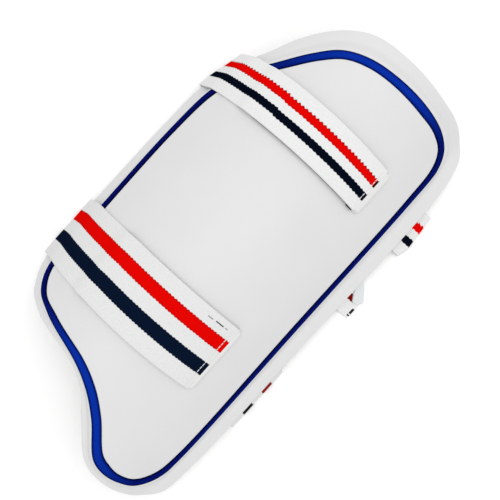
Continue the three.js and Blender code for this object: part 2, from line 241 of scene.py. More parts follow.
@dataclass
class PadLayout:
    """The pad laid out flat, and how it is bent round the thigh.

    Attributes:
        spine_u: the spine's place across, where it is straight.
        spine_squeeze: the spine's length as a share of the blue line's.
        spine_straight: half the length of line that it is straight for.
        spine_top: how far its top end turns to the right, and where on the line that is.
        spine_bottom: the same for its bottom end.
        spine_grid: length of the line whose points share one point of the spine.
        line_width: the blue line's width on the crest.
        line_flare: how much wider its inner half is where the pad leans.
        level_lean: degrees up to which the pad counts as level.
        steep_lean: degrees from which it counts as steep.
        painted_light_slope: degrees of slope to the right where the line's blue has its painted
            highlight.
        painted_light_reach: degrees from there up to which that painted highlight holds.
        painted_shade_reach: degrees from there at which the blue's painted shade is deepest.
    """

    stations: tuple[Station, ...] = STATIONS
    steps: int = 12
    right: tuple[Arc, ...] = (Arc(84, 46), Arc(22, 0), Arc(14, -42), Arc(60, 0))
    left: tuple[Arc, ...] = (Arc(97, 54), Arc(8, -8), Arc(60, 0))
    spine_u: float = 7.0
    spine_squeeze: float = 0.7
    spine_straight: float = 40.0
    spine_top: tuple[float, float] = (45.0, 168.0)
    spine_bottom: tuple[float, float] = (60.0, 202.0)
    spine_grid: float = 14.0
    line_width: float = 7.4
    line_flare: float = 0.65
    level_lean: float = 6.0
    steep_lean: float = 44.0
    painted_light_slope: float = 6.0
    painted_light_reach: float = 12.0
    painted_shade_reach: float = 46.0
    shift: Vector = field(default_factory=Vector)

    def __post_init__(self) -> None:
        """Draws the two outlines, and settles the pad in the frame by the corner of its front's box."""
        self.edge = self.outline([(s.edge_u, s.edge_v) for s in self.stations])
        self.line = self.outline([(s.line_u, s.line_v) for s in self.stations])
        rim = [self.bend(p.x, p.y, LAYERS.flange - LAYERS.edge_round) for p in self.edge]
        crest = self.bend(0.0, 0.0, LAYERS.plateau)
        corner = Vector((max(p.x for p in rim), max(p.y for p in rim), crest.z))
        self.shift = Vector(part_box("front_shell")[1]) / MM - corner

    def outline(self, corners: Sequence[tuple[float, float]]) -> list[Vector]:
        """Draws a smooth closed line through the given places.

        Args:
            corners: places on the flat pad, in order.

        Returns:
            The line, with self.steps points for each place.
        """
        places = [Vector(corner) for corner in corners]
        count = len(places)
        drawn = []
        for i in range(count):
            before, start, stop, after = (places[(i + k) % count] for k in (-1, 0, 1, 2))
            # Roots of the stretches' lengths keep the line from swinging out between uneven places.
            gaps = [(b - a).length ** 0.5 for a, b in ((before, start), (start, stop), (stop, after))]
            leave = (start - before) / gaps[0] - (stop - before) / (gaps[0] + gaps[1])
            leave = (leave + (stop - start) / gaps[1]) * gaps[1]
            arrive = (stop - start) / gaps[1] - (after - start) / (gaps[1] + gaps[2])
            arrive = (arrive + (after - stop) / gaps[2]) * gaps[1]
            for k in range(self.steps):
                t = k / self.steps
                cubic = (2 * start - 2 * stop + leave + arrive) * t**3
                square = (3 * stop - 3 * start - 2 * leave - arrive) * t**2
                drawn.append(start + leave * t + square + cubic)
        return drawn

    def follow(self, u: float) -> tuple[float, float, float]:
        """Follows the cross-section from the crest.

        Args:
            u: distance from the crest along the mould line.

        Returns:
            Place across, place up and slope in radians, all as if u was on the right.
        """
        x, z, angle, rest = 0.0, 0.0, 0.0, abs(u)
        for arc in self.left if u < 0 else self.right:
            run = min(rest, arc.length)
            half = math.radians(arc.turn) * run / arc.length / 2
            chord = run * math.sin(half) / half if half else run
            x += chord * math.cos(angle + half)
            z -= chord * math.sin(angle + half)
            angle += 2 * half
            rest -= run
        return x, z, angle

    def bend(self, u: float, v: float, h: float) -> Vector:
        """Bends a point of the flat pad round the thigh.

        Args:
            u: place across.
            v: place along.
            h: height above the mould line.

        Returns:
            The bent point, in the layout's millimetres.
        """
        x, z, angle = self.follow(u)
        side = -1 if u < 0 else 1
        return Vector((side * (x + h * math.sin(angle)), v, z + h * math.cos(angle)))

    def lean(self, u: float) -> float:
        """How far the mould line leans down a side: 0 on the crest, 1 where it is steep."""
        return smoothstep(math.degrees(self.follow(u)[2]), self.level_lean, self.steep_lean)

    def depth(self, u: float) -> float:
        """Painted shade on the piping's blue: 0 at its painted highlight on the right, 1 down both
        sides.
        """
        slope = math.copysign(math.degrees(self.follow(u)[2]), u)
        return smoothstep(abs(slope - self.painted_light_slope), self.painted_light_reach, self.painted_shade_reach)

    def place(self, point: Vector) -> Vector:
        """Puts a bent point in the frame, in metres."""
        return (point + self.shift) * MM

    def at(self, u: float, v: float, h: float) -> Vector:
        """Puts a point of the flat pad in the frame, in metres."""
        return self.place(self.bend(u, v, h))

    def crossing(self, points: Sequence[Vector], v: float, side: int) -> float:
        """Finds where an outline crosses a height.

        Args:
            points: the outline.
            v: height along the pad.
            side: 1 for the right of the spine, -1 for its left.

        Returns:
            The place across of the first crossing on that side.
        """
        for i, start in enumerate(points):
            stop = points[(i + 1) % len(points)]
            if side * (start.x - self.spine_u) > 0 and (start.y - v) * (stop.y - v) <= 0:
                return lerp(start.x, stop.x, (v - start.y) / (stop.y - start.y))
        raise ValueError(f"the outline doesn't reach {v}")

    def spine(self, v: float) -> Vector:
        """Finds the spine's place for a height on the blue line.

        Args:
            v: height along the pad.

        Returns:
            A flat point: the spine is straight in the middle, and both of its ends turn to the right.
        """
        top = self.spine_top[0] * smoothstep(v, self.spine_straight, self.spine_top[1])
        bottom = self.spine_bottom[0] * smoothstep(-v, self.spine_straight, self.spine_bottom[1])
        return Vector((self.spine_u + top + bottom, v * self.spine_squeeze))

    def ring(self, row: Row) -> list[Vector]:
        """Lays one row of a section round the flat pad.

        Args:
            row: the row.

        Returns:
            Flat points, one for each step of the outlines.
        """
        points = []
        half = self.line_width / 2
        for edge, middle in zip(self.edge, self.line):
            out = (edge - middle).normalized()
            flare = 1 + self.line_flare * self.lean(middle.x)
            if row.zone is Zone.EDGE:
                points.append(edge - out * row.at)
            elif row.zone is Zone.FLANGE:
                points.append(edge.lerp(middle + out * half, row.at))
            elif row.zone is Zone.LINE:
                points.append(middle + out * row.at * (flare if row.at < 0 else 1))
            elif row.zone is Zone.CORE:
                points.append((middle - out * half * flare).lerp(self.spine(middle.y), row.at))
            else:
                points.append(self.spine(round(middle.y / self.spine_grid) * self.spine_grid))
        return points


def srgb(code: str) -> tuple[float, float, float, float]:
    """Turns an sRGB hex colour into a linear one.

    Args:
        code: the colour, such as "#E0E0DE".

    Returns:
        Its linear red, green and blue, and alpha.
    """
    channels = [int(code[i : i + 2], 16) / 255 for i in (1, 3, 5)]
    linear = [c / 12.92 if c <= 0.04045 else ((c + 0.055) / 1.055) ** 2.4 for c in channels]
    return (*linear, 1.0)


def per_metre(size: float) -> float:
    """Texture scale of a pattern that repeats every so many millimetres."""
    return 1 / (size * MM)


def wave_scale(size: float) -> float:
    """Wave texture scale for bands of so many millimetres, as that texture has a wave every tau / 20."""
    return math.tau / 20 / (size * MM)


def add_node(
    tree: bpy.types.NodeTree,
    kind: str,
    settings: dict[str, Any] | None = None,
    inputs: dict[str | int, Any] | None = None,
) -> bpy.types.Node:
    """Adds a node with its settings and links.

    Args:
        tree: the tree that takes the node.
        kind: Blender's name for the type of node.
        settings: the node's own properties.
        inputs: for each input, a value or the output socket that it is linked to.

    Returns:
        The new node.
    """
    node = tree.nodes.new(kind)
    for name, value in (settings or {}).items():
        setattr(node, name, value)
    for key, value in (inputs or {}).items():
        if isinstance(value, bpy.types.NodeSocket):
            tree.links.new(value, node.inputs[key])
        else:
            node.inputs[key].default_value = value
    return node


@dataclass(frozen=True)
class Pattern:
    """What a finish draws: sockets with its colour and its surface's height, where it has them."""

    tone: bpy.types.NodeSocket | None = None
    height: bpy.types.NodeSocket | None = None


@dataclass(frozen=True)
class Finish:
    """A finish: its colour, how rough it is, how much it shines and fuzzes, and its relief.

    Attributes:
        relief: how strongly the relief shows, from 0 to 1.
        depth: the relief's depth.
    """

    name: str
    color: str
    roughness: float
    specular: float = 0.3
    sheen: float = 0.0
    relief: float = 0.0
    depth: float = 0.0

    def material(self) -> bpy.types.Material:
        """Makes the material with its shader, and draws its pattern.

        Returns:
            The material, which is made once for all pieces of this finish.
        """
        made = bpy.data.materials.get(self.name)
        if made:
            return made
        made = bpy.data.materials.new(self.name)
        made.use_nodes = True
        tree = made.node_tree
        tree.nodes.clear()
        shader = add_node(
            tree,
            "ShaderNodeBsdfPrincipled",
            inputs={
                "Base Color": srgb(self.color),
                "Roughness": self.roughness,
                "Specular IOR Level": self.specular,
                "Sheen Weight": self.sheen,
            },
        )
        add_node(tree, "ShaderNodeOutputMaterial", inputs={"Surface": shader.outputs["BSDF"]})
        pattern = self.draw(tree)
        if pattern.tone is not None:
            tree.links.new(pattern.tone, shader.inputs["Base Color"])
        if pattern.height is not None:
            bump = add_node(
                tree,
                "ShaderNodeBump",
                inputs={"Strength": self.relief, "Distance": self.depth * MM, "Height": pattern.height},
            )
            tree.links.new(bump.outputs["Normal"], shader.inputs["Normal"])
        return made

    def draw(self, tree: bpy.types.NodeTree) -> Pattern:
        """Draws the finish's pattern; a plain finish has none."""
        return Pattern()


@dataclass(frozen=True)
class MouldedFacing(Finish):
    """Polyurethane-coated knit pressed over foam: smooth and matte, with a fine leathery grain.

    The real grain is about 0.5 mm; it is drawn at twice that, because finer doesn't show in the render.
    """

    relief: float = 0.35
    depth: float = 0.05
    shade: str = "#D4D4D4"
    grain: float = 1.0
    drift: float = 45.0

    def draw(self, tree: bpy.types.NodeTree) -> Pattern:
        """Draws the grain and a slow drift of tone.

        Args:
            tree: the material's node tree.

        Returns:
            The pattern.
        """
        spot = add_node(tree, "ShaderNodeTexCoord").outputs["Object"]
        cloud = add_node(
            tree,
            "ShaderNodeTexNoise",
            inputs={"Vector": spot, "Scale": per_metre(self.drift), "Detail": 2.0},
        )
        tone = add_node(
            tree,
            "ShaderNodeMix",
            {"data_type": "RGBA"},
            {"Factor": cloud.outputs["Fac"], MIX_A: srgb(self.color), MIX_B: srgb(self.shade)},
        )
        cells = add_node(
            tree, "ShaderNodeTexVoronoi", inputs={"Vector": spot, "Scale": per_metre(self.grain)}
        )
        return Pattern(tone.outputs[MIXED], cells.outputs["Distance"])


@dataclass(frozen=True)
class KnitCover(Finish):
    """Warp-knit polyester cover: soft and matte, with fine wales that run along the pad.

    The real wales are about 0.8 mm apart; they are drawn at 1.6 mm, because finer doesn't show.
    """

    relief: float = 0.6
    depth: float = 0.12
    shade: str = "#CFCDC7"
    wale: float = 1.6

    def draw(self, tree: bpy.types.NodeTree) -> Pattern:
        """Draws wales and courses on the flat pad's own map.

        Args:
            tree: the material's node tree.

        Returns:
            The pattern.
        """
        flat = add_node(tree, "ShaderNodeUVMap", {"uv_map": "flat"}).outputs["UV"]
        knit = []
        for direction in ("X", "Y"):
            wave = add_node(
                tree,
                "ShaderNodeTexWave",
                {"bands_direction": direction},
                {"Vector": flat, "Scale": wave_scale(self.wale), "Distortion": 0.6},
            )
            knit.append(wave.outputs["Fac"])
        height = add_node(tree, "ShaderNodeMath", {"operation": "MULTIPLY"}, {0: knit[0], 1: knit[1]})
        tone = add_node(
            tree,
            "ShaderNodeMix",
            {"data_type": "RGBA"},
            {"Factor": height.outputs[0], MIX_A: srgb(self.shade), MIX_B: srgb(self.color)},
        )
        return Pattern(tone.outputs[MIXED], height.outputs[0])


@dataclass(frozen=True)
class BluePiping(Finish):
    """Satin polyurethane piping pressed into the groove, with a painted highlight on the crest and
    painted shade down the sides.
    """

    # Painted shade: the blue that the sides take, and the grey that darkens the piping's two rims.
    shaded_blue: str = "#060E59"
    rim: str = "#747484"
    mottle: float = 6.0
    mottle_depth: float = 0.08

    def draw(self, tree: bpy.types.NodeTree) -> Pattern:
        """Paints shade into the blue down the sides and along the piping's two rims, and mottles it a
        little.

        Args:
            tree: the material's node tree.

        Returns:
            The pattern.
        """
        depth = add_node(tree, "ShaderNodeAttribute", {"attribute_name": "depth"}).outputs["Fac"]
        rim_shades = add_node(tree, "ShaderNodeAttribute", {"attribute_name": "rim"}).outputs["Fac"]
        spot = add_node(tree, "ShaderNodeTexCoord").outputs["Object"]
        cloud = add_node(
            tree,
            "ShaderNodeTexNoise",
            inputs={"Vector": spot, "Scale": per_metre(self.mottle), "Detail": 3.0},
        )
        uneven = add_node(
            tree,
            "ShaderNodeMapRange",
            inputs={
                "Value": cloud.outputs["Fac"],
                "To Min": -self.mottle_depth,
                "To Max": self.mottle_depth,
            },
        )
        shade_and_mottle = add_node(
            tree,
            "ShaderNodeMath",
            {"operation": "ADD", "use_clamp": True},
            {0: depth, 1: uneven.outputs["Result"]},
        )
        tone = add_node(
            tree,
            "ShaderNodeMix",
            {"data_type": "RGBA"},
            {"Factor": shade_and_mottle.outputs[0], MIX_A: srgb(self.color), MIX_B: srgb(self.shaded_blue)},
        )
        rim_shaded = add_node(
            tree,
            "ShaderNodeMix",
            {"data_type": "RGBA", "blend_type": "MULTIPLY"},
            {"Factor": rim_shades, MIX_A: tone.outputs[MIXED], MIX_B: srgb(self.rim)},
        )
        return Pattern(rim_shaded.outputs[MIXED])


@dataclass(frozen=True)
class StripedElastic(Finish):
    """Woven elastic: white, ribbed across, with a red and a navy stripe of looped, toothed pile.

    The real ribs are about 1 mm apart; they are drawn at 2 mm, because finer doesn't show in the render.

    Attributes:
        red_tip: colour of the tips of the red stripe's outer teeth.
        red_end: its colour at the strap's cut end.
        red_shaded_behind: its colour behind the leg, with painted shade where the strap folds under the
            pad; navy_shaded_behind is the navy stripe's.
        half_gap: half the distance between the middles of the two stripes.
        offset: how far their common middle is off the strap's.
        edge_band: width of the red stripe's darker edges.
        shade_behind_from: where along the strap the painted shade behind the leg begins.
        shade_behind_blend: length in which it comes in.
        navy_reach: how far along the strap the navy stripe goes.
        outer_teeth: depth of the teeth on the outer edge of the red stripe.
        inner_teeth: depth of all other teeth.
        fray: how far loose fibres stand out.
        fray_size: size of a tuft of these fibres.
        softness: half the width in which a stripe's edge fades.
        tip_start: where the tips' colour begins, from the red stripe's outer edge.
        tip_stop: where it is full.
        end_bar: length of the coloured bar at the cut end.
        pile: size of a tuft of pile.
        pile_shade: how much lighter or darker a tuft is.
        wear: how much of that shows.
    """

    relief: float = 0.45
    depth: float = 0.15
    red: str = "#D80603"
    red_edge: str = "#B80503"
    red_tip: str = "#3C0404"
    red_end: str = "#121212"
    red_shaded_behind: str = "#D80603"
    navy: str = "#060B18"
    navy_shaded_behind: str = "#060B18"
    half_gap: float = 6.72
    offset: float = -0.3
    red_width: float = 6.5
    navy_width: float = 6.2
    edge_band: float = 0.9
    shade_behind_from: float = 320.0
    shade_behind_blend: float = 80.0
    navy_reach: float = 1000.0
    tooth: float = 3.6
    outer_teeth: float = 1.3
    inner_teeth: float = 0.6
    fray: float = 0.5
    fray_size: float = 2.4
    softness: float = 0.2
    tip_start: float = -0.3
    tip_stop: float = 0.5
    end_bar: float = 2.2
    rib: float = 2.0
    pile: float = 1.6
    pile_shade: float = 0.2
    wear: float = 0.5

    def stripe_mask(
        self,
        tree: bpy.types.NodeTree,
        edges: tuple[bpy.types.NodeSocket, bpy.types.NodeSocket],
        centre: float,
        width: float,
    ) -> bpy.types.NodeSocket:
        """Draws one stripe between its two edges.

        Args:
            tree: the material's node tree.
            edges: sockets with the place across, as the stripe's upper and lower teeth bend it.
            centre: the stripe's middle across the strap, in millimetres.
            width: its width, in millimetres.

        Returns:
            A socket that is 1 in the stripe and 0 outside.
        """
        sides = []
        for place, side in zip(edges, (1, -1)):
            border = centre + side * width / 2
            mask = add_node(
                tree,
                "ShaderNodeMapRange",
                {"interpolation_type": "SMOOTHSTEP"},
                {
                    "Value": place,
                    "From Min": (border - self.softness) * MM,
                    "From Max": (border + self.softness) * MM,
                    "To Min": 1.0 if side > 0 else 0.0,
                    "To Max": 0.0 if side > 0 else 1.0,
                },
            )
            sides.append(mask.outputs["Result"])
        both = add_node(tree, "ShaderNodeMath", {"operation": "MULTIPLY"}, {0: sides[0], 1: sides[1]})
        return both.outputs[0]

    def toothed(
        self,
        tree: bpy.types.NodeTree,
        along: bpy.types.NodeSocket,
        across: bpy.types.NodeSocket,
        fuzz: bpy.types.NodeSocket,
        depth: float,
    ) -> bpy.types.NodeSocket:
        """Bends the place across the strap by teeth and loose fibres.

        Args:
            tree: the material's node tree.
            along: socket with the place along the strap.
            across: socket with the place across the strap.
            fuzz: socket with noise from 0 to 1.
            depth: depth of the teeth in millimetres.

        Returns:
            A socket with the bent place.
        """
        tooth = add_node(
            tree, "ShaderNodeMath", {"operation": "PINGPONG"}, {0: along, 1: self.tooth / 2 * MM}
        )
        teeth = add_node(
            tree,
            "ShaderNodeMapRange",
            inputs={
                "Value": tooth.outputs[0],
                "From Max": self.tooth / 2 * MM,
                "To Min": -depth / 2 * MM,
                "To Max": depth / 2 * MM,
            },
        )
        loose = add_node(
            tree,
            "ShaderNodeMapRange",
            inputs={"Value": fuzz, "To Min": -self.fray * MM, "To Max": self.fray * MM},
        )
        ragged = add_node(
            tree,
            "ShaderNodeMath",
            {"operation": "ADD"},
            {0: teeth.outputs["Result"], 1: loose.outputs["Result"]},
        )
        bent = add_node(tree, "ShaderNodeMath", {"operation": "ADD"}, {0: across, 1: ragged.outputs[0]})
        return bent.outputs[0]

    def draw(self, tree: bpy.types.NodeTree) -> Pattern:
        """Draws the stripes, their toothed edges and the ribs on the strap's own map.

        Args:
            tree: the material's node tree.

        Returns:
            The pattern.
        """
        weave = add_node(tree, "ShaderNodeUVMap", {"uv_map": "weave"}).outputs["UV"]
        parts = add_node(tree, "ShaderNodeSeparateXYZ", inputs={"Vector": weave})
        along, across = parts.outputs["X"], parts.outputs["Y"]
        fuzz = add_node(
            tree,
            "ShaderNodeTexNoise",
            inputs={
                "Vector": weave,
                "Scale": per_metre(self.fray_size),
                "Detail": 3.0,
                "Roughness": 0.6,
            },
        ).outputs["Fac"]
        pile = add_node(
            tree,
            "ShaderNodeTexNoise",
            inputs={"Vector": weave, "Scale": per_metre(self.pile), "Detail": 2.0},
        ).outputs["Fac"]
        outer = self.toothed(tree, along, across, fuzz, self.outer_teeth)
        inner = self.toothed(tree, along, across, fuzz, self.inner_teeth)
        in_red = self.stripe_mask(tree, (outer, inner), self.half_gap, self.red_width)
        in_navy = self.stripe_mask(tree, (inner, inner), -self.half_gap, self.navy_width)
        heart_width = self.red_width - 2 * self.edge_band
        heart = self.stripe_mask(tree, (across, across), self.half_gap, heart_width)
        border = self.half_gap + self.red_width / 2
        tips = add_node(
            tree,
            "ShaderNodeMapRange",
            inputs={
                "Value": across,
                "From Min": (border + self.tip_start) * MM,
                "From Max": (border + self.tip_stop) * MM,
            },
        ).outputs["Result"]
        ends, reached = (
            add_node(
                tree, "ShaderNodeMath", {"operation": "LESS_THAN"}, {0: along, 1: limit * MM}
            ).outputs[0]
            for limit in (self.end_bar, self.navy_reach)
        )
        # Painted shade behind the leg, where the strap folds under the pad: the stripes turn to their
        # shaded colours there.
        back = add_node(
            tree,
            "ShaderNodeMapRange",
            {"interpolation_type": "SMOOTHSTEP"},
            {
                "Value": along,
                "From Min": self.shade_behind_from * MM,
                "From Max": (self.shade_behind_from + self.shade_behind_blend) * MM,
            },
        ).outputs["Result"]
        shown = add_node(tree, "ShaderNodeMath", {"operation": "MULTIPLY"}, {0: in_navy, 1: reached})
        color = srgb(self.red_edge)
        for factor, tint in (
            (heart, self.red),
            (tips, self.red_tip),
            (back, self.red_shaded_behind),
            (ends, self.red_end),
        ):
            color = add_node(
                tree,
                "ShaderNodeMix",
                {"data_type": "RGBA"},
                {"Factor": factor, MIX_A: color, MIX_B: srgb(tint)},
            ).outputs[MIXED]
        dark = add_node(
            tree,
            "ShaderNodeMix",
            {"data_type": "RGBA"},
            {"Factor": back, MIX_A: srgb(self.navy), MIX_B: srgb(self.navy_shaded_behind)},
        )
        mixed = srgb(self.color)
        for factor, tint in ((in_red, color), (shown.outputs[0], dark.outputs[MIXED])):
            mixed = add_node(
                tree,
                "ShaderNodeMix",
                {"data_type": "RGBA"},
                {"Factor": factor, MIX_A: mixed, MIX_B: tint},
            ).outputs[MIXED]
        shade = add_node(
            tree,
            "ShaderNodeMapRange",
            inputs={"Value": pile, "To Min": 1 - self.pile_shade, "To Max": 1 + self.pile_shade},
        ).outputs["Result"]
        worn = add_node(
            tree,
            "ShaderNodeMix",
            {"data_type": "RGBA", "blend_type": "MULTIPLY"},
            {"Factor": self.wear, MIX_A: mixed, MIX_B: shade},
        )
        ribs = add_node(
            tree,
            "ShaderNodeTexWave",
            {"bands_direction": "X"},
            {"Vector": weave, "Scale": wave_scale(self.rib), "Distortion": 1.2},
        )
        height = add_node(
            tree, "ShaderNodeMath", {"operation": "ADD"}, {0: ribs.outputs["Fac"], 1: pile}
        )
        return Pattern(worn.outputs[MIXED], height.outputs[0])


@dataclass(frozen=True)
class WovenTape(Finish):
    """Woven nylon fastener tape: white and slightly glossy, with a fine plain weave.

    The real threads are about 0.6 mm apart; they are drawn at 1.2 mm, because finer doesn't show.
    """

    relief: float = 0.3
    depth: float = 0.1
    thread: float = 1.2

    def draw(self, tree: bpy.types.NodeTree) -> Pattern:
        """Draws the weave on the tape's own map.

        Args:
            tree: the material's node tree.

        Returns:
            The pattern.
        """
        weave = add_node(tree, "ShaderNodeUVMap", {"uv_map": "weave"}).outputs["UV"]
        threads = add_node(
            tree, "ShaderNodeTexChecker", inputs={"Vector": weave, "Scale": per_metre(self.thread)}
        )
        return Pattern(height=threads.outputs["Fac"])


@dataclass(frozen=True)
class NylonPile(Finish):
    """Nylon hooks or brushed loops: matte and fuzzy, in clumps of a millimetre or so."""

    relief: float = 0.7
    depth: float = 0.3
    clump: float = 1.5

    def draw(self, tree: bpy.types.NodeTree) -> Pattern:
        """Draws the clumps.

        Args:
            tree: the material's node tree.

        Returns:
            The pattern.
        """
        spot = add_node(tree, "ShaderNodeTexCoord").outputs["Object"]
        clumps = add_node(
            tree,
            "ShaderNodeTexNoise",
            inputs={"Vector": spot, "Scale": per_metre(self.clump), "Detail": 4.0},
        )
        return Pattern(height=clumps.outputs["Fac"])


class RibRun(Enum):
    """Which way the ribs of a ribbed yarn follow one another."""

    ALONG_PAD = "Y"
    ASLANT = "DIAGONAL"


@dataclass(frozen=True)
class RibbedYarn(Finish):
    """Spun polyester, twisted to thread or woven to elastic: matte, with fine shaded ribs.

    Real plies are about 0.4 mm apart and real ribs 1 mm; both are drawn coarser, because finer doesn't
    show in the render.
    """

    relief: float = 0.45
    depth: float = 0.1
    shade: str = "#D0D3D4"
    rib: float = 0.8
    run: RibRun = RibRun.ASLANT

    def draw(self, tree: bpy.types.NodeTree) -> Pattern:
        """Draws the ribs, and shades the dips between them.

        Args:
            tree: the material's node tree.

        Returns:
            The pattern.
        """
        spot = add_node(tree, "ShaderNodeTexCoord").outputs["Object"]
        ribs = add_node(
            tree,
            "ShaderNodeTexWave",
            {"bands_direction": self.run.value},
            {"Vector": spot, "Scale": wave_scale(self.rib), "Distortion": 1.2},
        )
        tone = add_node(
            tree,
            "ShaderNodeMix",
            {"data_type": "RGBA"},
            {"Factor": ribs.outputs["Fac"], MIX_A: srgb(self.shade), MIX_B: srgb(self.color)},
        )
        return Pattern(tone.outputs[MIXED], ribs.outputs["Fac"])


FACING = MouldedFacing("moulded_coated_knit", "#DADADA", 0.5)
COVER = KnitCover("knitted_polyester_cover", "#E2E1DC", 0.9, sheen=0.2)
PIPING = BluePiping("satin_blue_piping", "#0A2D99", 0.5, specular=0.0)
UPPER_WEAVE = StripedElastic("striped_elastic_40_mm", "#DFE0DF", 0.9, specular=0.0)
# Its stripes are darker and greyer behind the leg: painted shade where the strap folds under the pad.
LOWER_WEAVE = StripedElastic(
    "striped_elastic_60_mm",
    "#DADBDA",
    0.9,
    specular=0.0,
    red_tip="#A00603",
    red_end="#D80603",
    red_shaded_behind="#84201A",
    navy="#091428",
    navy_shaded_behind="#1C1D20",
    half_gap=11.35,
    offset=1.05,
    red_width=10.65,
    navy_width=11.0,
    tooth=3.0,
    outer_teeth=0.6,
    inner_teeth=0.5,
)
# The tab's red is dark all over: painted shade, as it lies in the flange's shadow.
TAB_WEAVE = StripedElastic(
    "striped_elastic_tab",
    "#E1E2E1",
    0.9,
    specular=0.0,
    red="#780908",
    red_edge="#6C0606",
    red_tip="#6C0606",
    red_end="#E1E2E1",
    navy="#2A2C30",
    half_gap=5.1,
    red_width=6.1,
    navy_width=8.0,
    end_bar=5.5,
    navy_reach=2.2,
)
TAB_BACK = RibbedYarn(
    "plain_elastic_back", "#E0E3E4", 0.9, specular=0.0, shade="#D3D6D7", rib=2.0, run=RibRun.ALONG_PAD
)
TAPE_WEAVE = WovenTape("woven_nylon_tape", "#DDDDDC", 0.6)
# Grey hooks on the upper tape's sides and underside; their dark grey paints in the shadow line along the
# upper strap's lower edge.
SHADOW_GREY_HOOKS = NylonPile("grey_nylon_hooks_painted_shadow", "#3C3E40", 0.6)
WHITE_HOOKS = NylonPile("white_nylon_hooks", "#D8D8D6", 0.6)
LOOP_PILE = NylonPile("brushed_nylon_loops", "#DADAD8", 0.95, sheen=0.3)
THREAD = RibbedYarn("polyester_thread", "#E4E4E2", 0.6, shade="#D6D6D4")
# Dark and grey dashes of painted shadow, for the gaps near the straps' edges.
DARK_SHADOW_DASH = RibbedYarn("black_painted_shadow_dash", "#1A1B1D", 0.8, specular=0.05, shade="#0E0F11")
GREY_SHADOW_DASH = RibbedYarn("grey_painted_shadow_dash", "#A2A4A6", 0.8, specular=0.05, shade="#8E9092")
# The floor's paper is matte and takes nothing but the pad's soft shadow.
PAPER = Finish("pale_paper", "#FCFCFC", 0.95, specular=0.0)


def start_clean() -> None:
    """Deselects everything, so that the next operators act on the new piece alone."""
    if bpy.context.mode != "OBJECT":
        bpy.ops.object.mode_set(mode="OBJECT")
    bpy.ops.object.select_all(action="DESELECT")


def join(pieces: Sequence[bpy.types.Object]) -> bpy.types.Object:
    """Joins pieces into the first of them, with its place in its mesh.

    Args:
        pieces: the pieces.

    Returns:
        The first piece.
    """
    start_clean()
    for piece in pieces:
        piece.select_set(True)
    bpy.context.view_layer.objects.active = pieces[0]
    if len(pieces) > 1:
        bpy.ops.object.join()
    bpy.ops.object.transform_apply(location=True, rotation=True, scale=True)
    return pieces[0]


def apply_modifier(piece: bpy.types.Object, kind: str, **settings: Any) -> None:
    """Adds a modifier to the active piece and applies it.

    Args:
        piece: the piece, active and selected.
        kind: Blender's name for the type of modifier.
        settings: the modifier's properties.
    """
    modifier = piece.modifiers.new(kind.lower(), kind)
    for name, value in settings.items():
        setattr(modifier, name, value)
    bpy.ops.object.modifier_apply(modifier=modifier.name)


def round_edges(piece: bpy.types.Object, width: float) -> None:
    """Rounds the sharp edges of the active piece.

    Args:
        piece: the piece, active and selected.
        width: how much is rounded, in millimetres.
    """
    apply_modifier(
        piece, "BEVEL", width=width * MM, segments=3, limit_method="ANGLE", angle_limit=CORNER_ANGLE
    )


def close_up() -> None:
    """Merges the active piece's doubles, points its faces outwards and shades it smooth."""
    bpy.ops.object.mode_set(mode="EDIT")
    bpy.ops.mesh.select_all(action="SELECT")
    bpy.ops.mesh.remove_doubles(threshold=1e-6)
    bpy.ops.mesh.normals_make_consistent(inside=False)
    bpy.ops.object.mode_set(mode="OBJECT")
    bpy.ops.object.shade_smooth_by_angle(angle=SMOOTH_ANGLE)


def loft(
    name: str,
    layout: PadLayout,
    rows: Sequence[Row],
    relief: Callable[[Row, Vector], float] = lambda row, flat: 0.0,
    rim: Callable[[Row], float] = lambda row: 0.0,
) -> bpy.types.Object:
    """Extrudes a circle of edges along a section into a skin round the pad.

    Args:
        name: the piece's name.
        layout: the pad's layout.
        rows: the section's rows; it starts and ends on the spine, or ends where it starts.
        relief: how far the surface is raised at a place of a row.
        rim: how near a row is to a rim of the piece, from 0 to 1, which sets the painted shade along
            that rim.

    Returns:
        The new piece, with its flat map, and with its painted shade down the sides and along its rims as
        attributes.
    """
    flats = [layout.ring(row) for row in rows]
    start_clean()
    bpy.ops.mesh.primitive_circle_add(vertices=len(flats[0]), radius=layout.line_width * MM)
    piece = bpy.context.active_object
    piece.name = name
    bpy.ops.object.mode_set(mode="EDIT")
    skin = bmesh.from_edit_mesh(piece.data)
    for layer in ("column", "row"):
        skin.verts.layers.int.new(layer)
    for i, vert in enumerate(skin.verts):
        vert[skin.verts.layers.int["column"]] = i
    for r, row in enumerate(rows):
        if r:
            bpy.ops.mesh.extrude_region_move()
            skin = bmesh.from_edit_mesh(piece.data)
        columns, number = (skin.verts.layers.int[layer] for layer in ("column", "row"))
        for vert in skin.verts:
            if vert.select:
                flat = flats[r][vert[columns]]
                vert[number] = r
                vert.co = layout.at(flat.x, flat.y, row.h + relief(row, flat))
    # Attributes that the piping's material reads for its painted shade.
    for layer in ("depth", "rim"):
        skin.verts.layers.float.new(layer)
    flat_map = skin.loops.layers.uv.new("flat")
    shade_depths, rim_shades = (skin.verts.layers.float[layer] for layer in ("depth", "rim"))
    columns, number = (skin.verts.layers.int[layer] for layer in ("column", "row"))
    for vert in skin.verts:
        vert[shade_depths] = layout.depth(flats[vert[number]][vert[columns]].x)
        vert[rim_shades] = rim(rows[vert[number]])
    for face in skin.faces:
        for corner in face.loops:
            corner[flat_map].uv = flats[corner.vert[number]][corner.vert[columns]] * MM
    close_up()
    return piece


